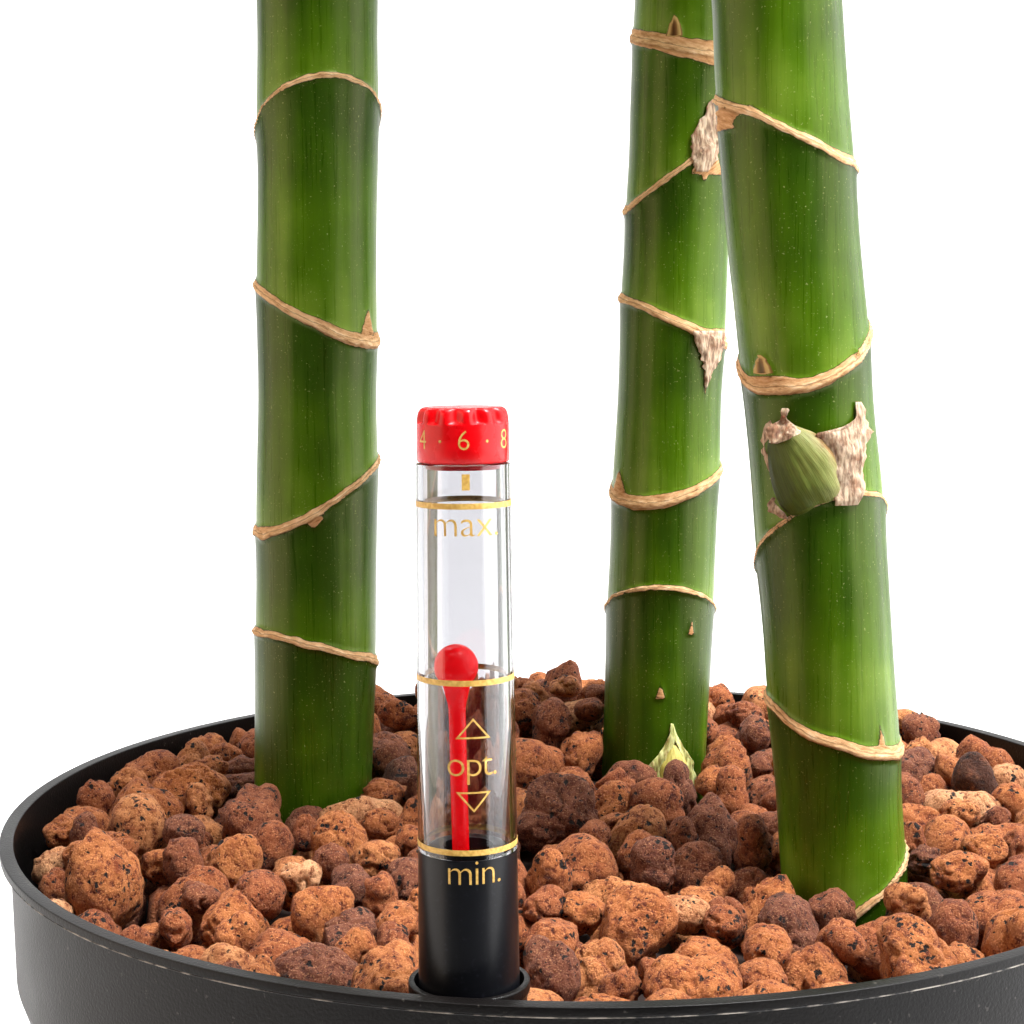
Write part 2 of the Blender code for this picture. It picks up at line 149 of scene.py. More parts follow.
def turn_profile(profile, columns, centre=(0.0, 0.0)):
    """Rows of (radius, height) swept round the upright line through centre."""
    profile = np.asarray(profile, dtype=float)
    angle = np.arange(columns) * 2 * math.pi / columns
    x = centre[0] + profile[:, :1] * np.cos(angle)
    y = centre[1] + profile[:, :1] * np.sin(angle)
    return np.stack([x, y, np.repeat(profile[:, 1:], columns, axis=1)], axis=-1)


def soft_light(name, bearing, distance, height, size, radiance, colour="#ffffff"):
    """A softbox that faces the pot: bearing in degrees from the front, radiance in W/m2/sr."""
    lamp = bpy.data.lights.new(name, "AREA")
    lamp.shape = "RECTANGLE"
    lamp.size, lamp.size_y = size
    lamp.color = linear(colour)[:3]
    lamp.energy = radiance * math.pi * size[0] * size[1]
    holder = bpy.data.objects.new(name, lamp)
    turn = math.radians(bearing)
    place = Vector((distance * math.sin(turn), -distance * math.cos(turn), height))
    away = place - Vector((0.0, 0.0, 0.22))         # from the middle of the pot and canes
    aim = away.to_track_quat("Z", "Y").to_matrix().to_4x4()
    holder.matrix_world = Matrix.Translation(place) @ aim
    holder.visible_camera = False
    bpy.context.scene.collection.objects.link(holder)


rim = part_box("culture_pot")[1][2]
rim_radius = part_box("culture_pot")[1][0]

sweep = np.linspace(0.0, math.pi / 2, 14)[1:]
floor_side = [(y, 0.0) for y in np.linspace(-0.42, 1.0, 12)]
floor_side += [(1.0 + 0.7 * math.sin(a), 0.7 - 0.7 * math.cos(a)) for a in sweep]
floor_side += [(1.7, z) for z in np.linspace(1.0, 3.2, 8)]
across = np.linspace(3.0, -3.0, 9)
cove = np.array([[(x, y, z) for x in across] for y, z in floor_side])
# Matt white paper, lit from behind where it curves up, so that it clips to white there.
paper, add, finish = new_material("white_backdrop_paper", 0.9, Base_Color="#dcdcdc",
                                  Emission_Color="#ffffff")
back = add("SeparateXYZ", {"Vector": add("TexCoord", gives="Object")}, "Y")
glow = add("MapRange", {"Value": back, "From Min": 0.05, "From Max": 0.45, "To Max": 0.72},
           interpolation_type="SMOOTHSTEP")
finish({"Emission Strength": glow})
surface("backdrop", cove, paper, None, wrap=False)

soft_light("right_softbox", 84.0, 0.75, 0.42, (1.25, 1.10), 3.3)
soft_light("left_softbox", -76.0, 0.85, 0.40, (1.00, 1.10), 2.1, "#ffe8d2")
soft_light("key_softbox", 62.0, 0.45, 1.15, (0.28, 0.28), 125.0)
soft_light("top_softbox", -20.0, 0.25, 1.20, (0.60, 0.45), 4.0)
soft_light("rear_softbox", 180.0, 0.70, 1.30, (1.60, 0.50), 6.0)

world = bpy.data.worlds.new("studio_air")
world.use_nodes = True
feed(world.node_tree, world.node_tree.nodes["Background"], {"Color": "#e8ecf2", "Strength": 0.05})
bpy.context.scene.world = world
bpy.context.scene.view_settings.view_transform = "Standard"

lens = bpy.data.cameras.new("camera")
lens.sensor_width = 36.0
lens.lens = 61.5
lens.clip_start = 0.01
camera = bpy.data.objects.new("camera", lens)
heading = Matrix.Rotation(math.radians(2.10), 4, "Z")
pitch = Matrix.Rotation(math.radians(90.0 - 5.66), 4, "X")
roll = Matrix.Rotation(math.radians(-0.51), 4, "Z")
camera.matrix_world = Matrix.Translation((0.0, -0.3394, rim + 0.0903)) @ heading @ pitch @ roll
bpy.context.scene.collection.objects.link(camera)
bpy.context.scene.camera = camera


# ---------------------------------------------------------------------------
# Culture pot. Injection-moulded polypropylene in charcoal grey: a thin wall with an upright
# band under a flat lip, a thin flash line where the mould closed under the lip, and the
# gauge's shaft moulded on inside the front of the rim.
# ---------------------------------------------------------------------------


def rounded(profile, radius, steps=4):
    """The profile with each inner corner replaced by a parabola that starts radius from it."""
    corners = [np.array(p, dtype=float) for p in profile]
    out = [corners[0]]
    for before, corner, after in zip(corners, corners[1:], corners[2:]):
        arms = [before - corner, after - corner]
        lengths = [max(np.linalg.norm(arm), 1e-9) for arm in arms]
        reach = min(radius, lengths[0] * 0.45, lengths[1] * 0.45)
        start, end = [corner + arm / length * reach for arm, length in zip(arms, lengths)]
        for t in np.linspace(0.0, 1.0, steps + 1):
            out.append((1 - t) ** 2 * start + 2 * t * (1 - t) * corner + t ** 2 * end)
    out.append(corners[-1])
    return np.array(out)


def combine(piece, tool, operation):
    """The piece's mesh joined with or cut by the tool's, which is then removed."""
    change = piece.modifiers.new("change", "BOOLEAN")
    change.object = tool
    change.operation = operation
    bpy.context.view_layer.update()
    graph = bpy.context.evaluated_depsgraph_get()
    mesh = bpy.data.meshes.new_from_object(piece.evaluated_get(graph))
    piece.modifiers.clear()
    piece.data = mesh
    bpy.data.objects.remove(tool, do_unlink=True)


wall = rim_radius - 1.9 * MM
outer = [(rim_radius, rim), (rim_radius, rim - 1.4 * MM), (wall, rim - 1.5 * MM),
         (wall - 0.3 * MM, rim - 25.0 * MM), (wall - 1.8 * MM, rim - 29.5 * MM),
         (wall - 4.5 * MM, rim - 34.0 * MM), (98.0 * MM, 2.0 * MM), (96.0 * MM, 0.0), (0.0, 0.0)]
inner = [(0.0, 3.0 * MM), (94.0 * MM, 3.0 * MM), (96.5 * MM, 6.0 * MM),
         (wall - 6.5 * MM, rim - 34.0 * MM), (wall - 3.8 * MM, rim - 29.5 * MM),
         (wall - 2.3 * MM, rim - 25.0 * MM), (wall - 0.7 * MM, rim - 6.0 * MM),
         (wall - 0.6 * MM, rim)]

# Moulded polypropylene: a soft sheen, a fine eroded grain, rubbed patches and some dust.
plastic, add, finish = new_material("moulded_polypropylene", 0.38, 1.49, Specular_IOR_Level=0.17)
coords = add("TexCoord", gives="Object")
cloud = add("TexNoise", {"Vector": coords, "Scale": 28.0, "Detail": 5.0})
base = add("ValToRGB", {"Fac": cloud}, stops=[(0.30, "#070606"), (0.70, "#100d0c")])
dust = add("TexNoise", {"Vector": coords, "Scale": 850.0, "Detail": 2.0})
speck = add("ValToRGB", {"Fac": dust}, stops=[(0.69, "#000000"), (0.76, "#4c4844")])
# The mould's spark-eroded grain is 0.2 mm; it is drawn at 0.5 mm, the least that shows.
grain = add("TexNoise", {"Vector": coords, "Scale": 2000.0, "Detail": 3.0})
finish({"Base Color": add("Mix", {0: 0.6, 6: base, 7: speck}, 2, data_type="RGBA",
                          blend_type="ADD"),
        "Roughness": add("MapRange", {"Value": cloud, "From Min": 0.3, "From Max": 0.7,
                                      "To Min": 0.34, "To Max": 0.46}),
        "Normal": add("Bump", {"Height": grain, "Strength": 0.5, "Distance": 0.15 * MM})})

pot = surface("culture_pot_shell", turn_profile(rounded(inner + outer, 0.25 * MM), 256),
              plastic, PLANT)

gauge_low, gauge_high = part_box("gauge_tube")
gauge_x, gauge_y = (gauge_low[0] + gauge_high[0]) / 2, (gauge_low[1] + gauge_high[1]) / 2
shaft_radius, bore_radius, collar = 8.3 * MM, 7.7 * MM, rim - 0.7 * MM
shaft_side = [(0.0, collar), (shaft_radius + 0.4 * MM, collar),
              (shaft_radius + 0.4 * MM, collar - 1.6 * MM), (shaft_radius, collar - 2.0 * MM),
              (shaft_radius, 0.6 * MM), (0.0, 0.6 * MM)]
bore_side = [(0.0, collar + 5 * MM), (bore_radius + 0.25 * MM, collar + 5 * MM),
             (bore_radius + 0.2 * MM, collar - 0.1 * MM), (bore_radius, collar - 0.4 * MM),
             (bore_radius, 3.0 * MM), (0.0, 3.0 * MM)]
for side, operation in ((rounded(shaft_side, 0.3 * MM), "UNION"), (bore_side, "DIFFERENCE")):
    tool = surface("tool", turn_profile(side, 96, (gauge_x, gauge_y)), plastic, PLANT)
    combine(pot, tool, operation)
pot.data.set_sharp_from_angle(angle=math.radians(40.0))
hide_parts("culture_pot")


def mottled(name, roughness, scale, detail, stops, ior=1.5, **sockets):
    """A finish whose colour drifts between the stops, by one noise of scale lumps a metre."""
    material, add, finish = new_material(name, roughness, ior, **sockets)
    coords = add("TexCoord", gives="Object")
    lumps = add("TexNoise", {"Vector": coords, "Scale": scale, "Detail": detail})
    finish({"Base Color": add("ValToRGB", {"Fac": lumps}, stops=stops)})
    return material


# The flash is a paper-thin edge of plastic, pale in patches every 4 mm or so.
flash_plastic = mottled("pale_patched_mould_flash", 0.6, 260.0, 4.0,
                        [(0.46, "#1d1c1e"), (0.60, "#a39a90")], 1.49)
edge = rim_radius - 0.05 * MM
flash_side = [(edge - 0.6 * MM, rim - 1.38 * MM), (edge, rim - 1.44 * MM),
              (edge, rim - 1.58 * MM), (edge - 0.6 * MM, rim - 1.64 * MM),
              (edge - 0.6 * MM, rim - 1.38 * MM)]
flash = surface("mould_flash", turn_profile(flash_side, 256), flash_plastic, PLANT)
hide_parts("culture_pot")


# ---------------------------------------------------------------------------
# Water gauge. A clear extruded acrylic tube with gold printing, a turning month dial of red
# polystyrene, a black foot inside, and a red float rod with a ball for a pointer.
# ---------------------------------------------------------------------------


def tube_radius(height):
    """Outer radius of the drafted tube at a height in mm above the rim."""
    return (7.24 - 0.0091 * height) * MM


def gauge_part(name, side, material, node, columns):
    """A ring turned on the gauge's axis from (radius, height above the rim) rows in mm."""
    rows = [(radius * MM, rim + height * MM) for radius, height in side + side[:1]]
    piece = surface(name, turn_profile(rows, columns, (gauge_x, gauge_y)), material, PLANT)
    piece.data.set_sharp_from_angle(angle=math.radians(35.0))
    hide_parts(node)


# Extruded acrylic is almost colourless; it keeps faint lengthwise lines.
acrylic, add, finish = new_material("clear_acrylic", 0.02, 1.49, Base_Color="#d9d9dc",
                                    Transmission_Weight=1.0)
lengthwise = add("Mapping", {"Vector": add("TexCoord", gives="Object"), "Scale": (1.0, 1.0, 0.02)})
drawn = add("TexNoise", {"Vector": lengthwise, "Scale": 1500.0})
finish({"Normal": add("Bump", {"Height": drawn, "Strength": 0.08, "Distance": 0.05 * MM})})

# Black polystyrene shows through the tube's wall and takes the tube's gloss; dust greys it.
black = mottled("black_polystyrene", 0.30, 1400.0, 3.0, [(0.60, "#0b0c10"), (0.75, "#1b1c22")],
                Specular_IOR_Level=0.28)

split, top, foot, thick = 18.6, 73.3, -40.0, 1.0      # heights of the tube, and its wall, in mm
clear_heights = np.linspace(top, split, 6)
tube_side = [(tube_radius(top) / MM - 0.25, top)]
tube_side += [(tube_radius(h) / MM, h - (0.15 if h == top else 0.0)) for h in clear_heights]
tube_side += [(tube_radius(h) / MM - thick, h) for h in np.linspace(split, top, 6)]
gauge_part("clear_tube", tube_side, acrylic, "gauge_tube", 160)
lower_side = [(tube_radius(split) / MM - thick, split - 0.1),
              (tube_radius(split) / MM - 0.02, split - 0.1),
              (tube_radius(foot) / MM - 0.02, foot),
              (tube_radius(foot) / MM - thick, foot)]
gauge_part("blackened_tube_foot", lower_side, black, "gauge_tube", 128)
sleeve_side = [(3.6, 19.0), (5.5, 19.0), (5.6, 18.8), (5.6, -40.3), (7.3, -40.3), (7.3, -186.7),
               (6.4, -186.7), (6.4, -44.3), (4.7, -40.3), (4.7, 17.8), (3.6, 17.8)]
gauge_part("gauge_foot", sleeve_side, black, "gauge_sleeve", 96)

# Hot-foil gold: so thin and rough on the plastic that it reads as an even ochre print.
gold = mottled("gold_foil", 0.45, 1800.0, 2.0, [(0.35, "#bd9140"), (0.65, "#dcb562")],
               Metallic=0.1)

for name, height in (("max_ring", 67.7), ("opt_ring", 43.4), ("min_ring", 19.7)):
    ring_side = [(tube_radius(height) / MM + lift, height + half)
                 for lift, half in ((0.00, 0.4), (0.035, 0.4), (0.035, -0.4), (0.00, -0.4))]
    gauge_part(name, ring_side, gold, "gauge_tube", 160)


film = 0.03 * MM        # how far the print stands off the plastic


def wrap_film(name, mesh, bearing, height, radius, body):
    """A flat gold print bent round the gauge: x becomes an arc round it, and y its height."""
    build = bmesh.new()
    build.from_mesh(mesh)
    low = min(v.co.x for v in build.verts)
    high = max(v.co.x for v in build.verts)
    for x in np.arange(low, high, 0.35 * MM)[1:]:
        geometry = build.verts[:] + build.edges[:] + build.faces[:]
        bmesh.ops.bisect_plane(build, geom=geometry, plane_co=(x, 0, 0), plane_no=(1, 0, 0))
    build.to_mesh(mesh)
    build.free()
    flat = np.zeros(len(mesh.vertices) * 3, dtype=np.float32)
    mesh.vertices.foreach_get("co", flat)
    x, y = flat.reshape(-1, 3)[:, 0], flat.reshape(-1, 3)[:, 1]
    turn = math.radians(bearing) + (x - (low + high) / 2) / radius
    bent = np.stack([gauge_x + radius * np.sin(turn), gauge_y - radius * np.cos(turn),
                     rim + height * MM + y], axis=-1)
    mesh.vertices.foreach_set("co", bent.astype(np.float32).ravel())
    mesh.update()
    finish_piece(name, mesh, gold, body)


def lettering(name, text, tall, bearing, height, radius, body, spread=1.0):
    """Printed text: tall is the size in mm of the type, height that of its baseline."""
    curve = bpy.data.curves.new(name, "FONT")
    curve.body = text
    curve.size = tall * MM
    curve.align_x = "CENTER"
    curve.space_character = spread
    curve.offset = -0.012 * tall * MM
    curve.resolution_u = 4
    flat = bpy.data.objects.new(name, curve)
    bpy.context.scene.collection.objects.link(flat)
    bpy.context.view_layer.update()
    graph = bpy.context.evaluated_depsgraph_get()
    mesh = bpy.data.meshes.new_from_object(flat.evaluated_get(graph))
    bpy.data.objects.remove(flat, do_unlink=True)
    wrap_film(name, mesh, bearing, height, radius, body)


def outline_triangle(name, wide, tall, line, bearing, height):
    """A printed triangle outline, point up, or point down where tall is negative."""
    slope = math.hypot(wide / 2, tall)
    inset_x = line * (slope + wide / 2) / abs(tall)
    inset_y = math.copysign(line, tall)
    outer_line = [(-wide / 2, 0.0), (wide / 2, 0.0), (0.0, tall)]
    inner_line = [(-wide / 2 + inset_x, inset_y), (wide / 2 - inset_x, inset_y),
                  (0.0, tall - math.copysign(line * slope / (wide / 2), tall))]
    points = np.array([(x * MM, y * MM, 0.0) for x, y in outer_line + inner_line])
    faces = np.array([(0, 1, 4, 3), (1, 2, 5, 4), (2, 0, 3, 5)])
    mesh = mesh_of(name, points, faces if tall > 0 else faces[:, ::-1])
    wrap_film(name, mesh, bearing, height, tube_radius(height) + film, PLANT)


# The words, triangles and index bar, by bearing and height above the rim in mm.
for name, text, height, bearing, spread in (("max_print", "max.", 63.6, 6.9, 0.99),
                                            ("opt_print", "opt.", 30.5, 10.5, 0.90),
                                            ("min_print", "min.", 15.2, 12.0, 0.92)):
    lettering(name, text, 5.3, bearing, height, tube_radius(height) + film, PLANT, spread)
outline_triangle("up_triangle", 5.0, 2.9, 0.26, 11.5, 35.7)
outline_triangle("down_triangle", 5.0, -2.9, 0.26, 11.5, 28.3)
bar = np.array([(-0.55, 0.0, 0.0), (0.55, 0.0, 0.0), (0.55, 2.2, 0.0), (-0.55, 2.2, 0.0)]) * MM
wrap_film("index_bar", mesh_of("index_bar", bar, np.array([(0, 1, 2, 3)])), 6.4, 69.9,
          tube_radius(70.0) + film, PLANT)


def red_polystyrene(name, **sockets):
    """Moulded with a high gloss, and softer where it has been handled."""
    material, add, finish = new_material(name, 0.22, 1.50, Specular_IOR_Level=0.3, **sockets)
    coords = add("TexCoord", gives="Object")
    cloud = add("TexNoise", {"Vector": coords, "Scale": 260.0, "Detail": 4.0})
    fine = add("TexNoise", {"Vector": coords, "Scale": 900.0, "Detail": 2.0})
    finish({"Base Color": add("ValToRGB", {"Fac": cloud},
                              stops=[(0.35, "#c80209"), (0.65, "#dd050f")]),
            "Roughness": add("MapRange", {"Value": cloud, "From Min": 0.35, "From Max": 0.65,
                                          "To Min": 0.20, "To Max": 0.32}),
            "Normal": add("Bump", {"Height": fine, "Strength": 0.12, "Distance": 0.1 * MM})})
    return material


def dial_points(columns=288):
    """The dial's grid: its side is round, and above the ledge it has twelve shallow scoops.

    radius = side(height) - depth(height) * (0.5 + 0.5 cos(12 (turn - first_scoop))) ** 1.3;
    the rows are (radius, height above the rim, depth of a scoop), in mm.
    """
    side = [(0.0, 80.78, 0.0), (3.2, 80.82, 0.0), (4.3, 81.0, 0.0), (5.0, 81.02, 0.1),
            (5.5, 80.95, 0.35), (5.9, 80.72, 0.6), (6.15, 80.35, 0.75), (6.29, 79.9, 0.82),
            (6.36, 79.45, 0.80), (6.39, 79.1, 0.68), (6.40, 78.85, 0.45), (6.40, 78.74, 0.0),
            (6.40, 78.5, 0.0), (6.40, 76.0, 0.0), (6.40, 73.6, 0.0), (6.25, 73.42, 0.0),
            (5.2, 73.42, 0.0), (5.2, 72.6, 0.0), (5.05, 72.45, 0.0), (0.0, 72.45, 0.0)]
    rows = np.array(side)
    scoops, first_scoop = 12, math.radians(-90.0 - 6.0)
    turn = np.arange(columns) * 2 * math.pi / columns
    scoop = (0.5 + 0.5 * np.cos(scoops * (turn - first_scoop))) ** 1.3
    radius = (rows[:, :1] - rows[:, 2:] * scoop) * MM
    return np.stack([gauge_x + radius * np.cos(turn), gauge_y + radius * np.sin(turn),
                     rim + np.repeat(rows[:, 1:2], columns, axis=1) * MM], axis=-1)


dial = surface("month_dial_cap", dial_points(), red_polystyrene("red_polystyrene"), DIAL)
dial.data.set_sharp_from_angle(angle=math.radians(50.0))
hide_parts("month_dial")
print_radius = 6.43 * MM
for step, month in enumerate((6, 8, 10, 12, 2, 4)):
    turn = 4.5 + 60.0 * step
    lettering("month_%d" % month, str(month), 3.9, turn, 75.35, print_radius, DIAL)
    dot = turn_profile([(0.21 * MM, 0.0)], 16)[0]
    disc = mesh_of("month_dot", dot, np.arange(16).reshape(1, 16))
    wrap_film("month_dot_%d" % (month + 1), disc, turn + 30.0, 76.5, print_radius, DIAL)


def float_points(side, columns):
    """A turned piece on the float's leaning line; it stands off the tube's axis."""
    rows = np.array(side)
    turn = np.arange(columns) * 2 * math.pi / columns
    lean = -1.35 + 0.014 * (44.6 - rows[:, 1:2])
    return np.stack([gauge_x + (lean + rows[:, :1] * np.cos(turn)) * MM,
                     gauge_y + rows[:, :1] * np.sin(turn) * MM,
                     rim + np.repeat(rows[:, 1:2], columns, axis=1) * MM], axis=-1)


polar = np.linspace(0.0, 2.3, 20)
rod_side = [(3.13 * math.sin(a), 44.6 + 3.13 * math.cos(a)) for a in polar]
rod_side += [(2.05, 42.1), (1.85, 41.4), (1.6, 40.4), (1.35, 39.4), (1.22, 38.7), (1.2, 37.5),
             (1.2, 0.0), (1.2, -70.0), (1.2, -140.5), (0.0, -140.8)]
# A faint glow stands for the light that real acrylic lets through to the float.
seen_red = red_polystyrene("red_polystyrene_in_tube", Emission_Color="#e0030c",
                           Emission_Strength=0.90)
pointer = surface("float_rod_and_ball", float_points(rod_side, 64), seen_red, FLOAT)
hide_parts("float_pointer")

# Closed-cell foam: matt, off-white, with cells about 0.4 mm across.
foam, add, finish = new_material("closed_cell_foam", 0.85, 1.45)
coords = add("TexCoord", gives="Object")
cells = add("TexVoronoi", {"Vector": coords, "Scale": 2500.0})
finish({"Base Color": add("ValToRGB", {"Fac": cells}, stops=[(0.1, "#efeee8"), (0.7, "#d6d3c9")]),
        "Normal": add("Bump", {"Height": cells, "Strength": 0.3, "Distance": 0.1 * MM})})
foam_side = [(0.0, -141.2), (1.5, -141.2), (1.5, -118.0), (3.4, -118.0), (3.85, -118.15),
             (4.0, -118.6), (4.0, -155.4), (3.85, -155.85), (3.4, -156.0), (0.0, -156.0)]
foam_piece = surface("foam_float", float_points(foam_side, 48), foam, FLOAT)
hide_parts("float_body")


# ---------------------------------------------------------------------------
# Clay granules. Clay balls expanded in a kiln: a rough red-brown skin over lumps that grew
# together, with cracks, small dark pores and a few sooty patches. They were poured in loose.
# ---------------------------------------------------------------------------
# The axis of each cane: x, y, height above the rim and radius, in mm, from the foot up.
CANES = {
    "left": [(-59.0, 22.0, -130.0, 12.4), (-56.2, 22.0, -10.0, 12.6), (-54.3, 22.0, 40.0, 12.7),
             (-52.9, 22.0, 100.0, 12.5), (-51.7, 22.0, 160.0, 12.3), (-50.0, 23.0, 240.0, 11.2),
             (-49.0, 24.0, 315.0, 9.0)],
    "back": [(12.0, 43.0, -130.0, 11.6), (17.1, 43.0, 0.0, 11.7), (20.0, 43.0, 65.0, 11.7),
             (22.5, 43.0, 120.0, 11.5), (24.3, 43.0, 162.0, 11.3), (29.0, 44.0, 280.0, 10.4),
             (33.0, 45.0, 405.0, 8.0)],
    "right": [(56.0, -26.0, -130.0, 11.2), (48.6, -26.0, -10.0, 11.5), (43.8, -26.0, 54.0, 11.7),
              (40.5, -26.0, 90.0, 11.8), (37.4, -26.0, 120.0, 11.9), (35.0, -26.0, 155.0, 11.2),
              (31.0, -27.0, 235.0, 9.0)],
}


def axis_at(cane, height):
    """Axis x, y and radius in mm at heights in mm, on a smooth curve through the points."""
    rows = np.array(CANES[cane])
    z = rows[:, 2]
    slopes = np.gradient(rows, z, axis=0)
    height = np.clip(np.asarray(height, dtype=float), z[0], z[-1])
    k = np.clip(np.searchsorted(z, height) - 1, 0, len(z) - 2)
    span = (z[k + 1] - z[k])[..., None]
    t = (height - z[k])[..., None] / span
    curve = ((1 + 2 * t) * (1 - t) ** 2 * rows[k] + t * (1 - t) ** 2 * span * slopes[k]
             + t * t * (3 - 2 * t) * rows[k + 1] + t * t * (t - 1) * span * slopes[k + 1])
    return curve[..., 0], curve[..., 1], curve[..., 3]


def noise(points, size, seed=0, octaves=3):
    """Smooth random values, mostly within -1..1, at (..., 3) points; size is a lump's width.

    Each corner of a grid of cells has a fixed value, hashed from its three numbers; the values
    blend across a cell, and each further octave is half as wide and half as strong.
    """
    total = np.zeros(points.shape[:-1])
    for octave in range(octaves):
        spot = points / size * 2.0 ** octave + 31.7 * (seed + octave)
        cell = np.floor(spot).astype(np.int64)
        part = spot - cell
        part = part * part * (3.0 - 2.0 * part)
        for corner in range(8):
            step = np.array([corner & 1, corner >> 1 & 1, corner >> 2 & 1])
            key = (cell + step) @ np.array([374761393, 668265263, 974634777])
            key = (key ^ (key >> 13)) * 1274126177 % 2147483648
            share = np.prod(np.where(step, part, 1.0 - part), axis=-1)
            total += share * (key / 1073741824.0 - 1.0) / 2.0 ** octave
    return total


def pile_height(x, y):
    """Height in mm above the rim of the settled pile: it rises to the back, heaps up between
    the canes, and sinks at the front left and before the right cane."""
    heap = 11.0 * np.exp(-((x + 5.0) ** 2 + (y - 60.0) ** 2) / (2 * 17.0 ** 2))
    sink = 1.5 * np.exp(-((x - 42.0) ** 2 + (y + 50.0) ** 2) / (2 * 14.0 ** 2))
    sink += 3.5 * np.exp(-((x + 74.0) ** 2 + (y + 58.0) ** 2) / (2 * 18.0 ** 2))
    return 0.5 + 0.045 * y + heap - sink


def drop_granules(rng, placed):
    """Rows (x, y, z, radius) in mm of granules dropped where each comes to lie lowest."""
    stems = [tuple(float(value) for value in axis_at(cane, -6.0)) for cane in CANES]
    stems.append((gauge_x / MM, gauge_y / MM, shaft_radius / MM))
    stems.append((20.0, 26.5, 4.0))                 # the gap before the back cane's small bud
    bore, wall_gap, stem_gap = 106.5, 1.18, 0.88    # the pot's bore in mm, and gaps in radii
    placed = np.array(placed)
    for radius_range, misses_allowed in (((5.4, 7.3), 40), ((4.2, 5.6), 60), ((3.0, 4.2), 60)):
        misses, tries = 0, 260
        while misses < misses_allowed:
            radius = rng.uniform(*radius_range)
            reach = (bore - wall_gap * radius) * np.sqrt(rng.random(tries))
            turn = 2 * math.pi * rng.random(tries)
            x, y = reach * np.cos(turn), reach * np.sin(turn)
            free = np.ones(len(x), dtype=bool)
            for stem_x, stem_y, stem_radius in stems:
                free &= np.hypot(x - stem_x, y - stem_y) > stem_radius + radius * stem_gap
            x, y = x[free], y[free]
            apart = (x[:, None] - placed[:, 0]) ** 2 + (y[:, None] - placed[:, 1]) ** 2
            touch = (radius + placed[:, 3]) ** 2
            over = placed[:, 2] + np.sqrt(np.maximum(touch - apart, 0.0))
            rest = np.where(apart < touch, over, -99.0).max(axis=1)
            top = pile_height(x, y)
            rest = np.maximum(rest, top - radius * 2.0 - rng.uniform(0.0, 5.0, len(x)))
            spare = top + rng.uniform(-2.5, 2.6) - (rest + radius)
            best = int(np.argmax(spare))
            if spare[best] < 0.0:
                misses += 1
                continue
            placed = np.vstack([placed, (x[best], y[best], rest[best], radius)])
    return placed


def unit_ball(subdivisions):
    """Vertices and triangles of an icosphere of radius 1."""
    build = bmesh.new()
    bmesh.ops.create_icosphere(build, subdivisions=subdivisions, radius=1.0)
    points = np.array([vertex.co[:] for vertex in build.verts])
    faces = np.array([[vertex.index for vertex in face.verts] for face in build.faces])
    build.free()
    return points, faces


def granule_points(rng, ball, centre, radius):
    """One granule: lobes grown together, clipped by broken faces, then roughened.

    Each lobe, a ball of radius s at c, reaches c.d + sqrt(s^2 - |c|^2 + (c.d)^2) along a
    direction d; the skin is the greatest reach, cut back to h / (n.d) at each broken face.
    Noise adds lumps 4.5 mm and grit 1.6 mm wide, and cracks where it crosses zero.
    """
    reach = np.full(len(ball), 0.66)
    for lobe in range(rng.integers(1, 6)):
        offset = rng.normal(size=3)
        offset *= rng.uniform(0.25, 0.56) / np.linalg.norm(offset)
        size = rng.uniform(0.42, 0.70)
        along = ball @ offset
        inside = size ** 2 - offset @ offset + along ** 2
        lobe_reach = along + np.sqrt(np.maximum(inside, 0.0))
        reach = np.where(inside > 0.0, np.maximum(reach, lobe_reach), reach)
    for face in range(rng.integers(1, 8)):
        normal = rng.normal(size=3)
        facing = ball @ (normal / np.linalg.norm(normal))
        depth = rng.uniform(0.58, 0.93)
        limit = depth / np.maximum(facing, 0.2)
        reach = np.where(facing > 0.2, np.minimum(reach, limit), reach)
    seed = rng.integers(1, 9999)
    skin = ball * radius
    crack = np.abs(noise(skin, 4.2, seed + 5, 2))
    reach = reach / reach.mean() * 0.98 * radius
    reach += 0.06 * radius * noise(skin, 4.5, seed)
    reach += rng.uniform(0.16, 0.44) * noise(skin, 1.6, seed + 9, 3)
    reach -= 0.80 * np.exp(-(crack / 0.11) ** 2) * (noise(skin, 6.0, seed + 3, 1) > -0.1)
    stretch = np.array([1.16, 0.97, 0.86])[rng.permutation(3)]
    points = ball * stretch * reach[:, None]
    turn = rng.uniform(-0.6, 0.6)
    spin = np.array([[math.cos(turn), -math.sin(turn), 0], [math.sin(turn), math.cos(turn), 0],
                     [0, 0, 1]])
    return centre + points @ spin.T


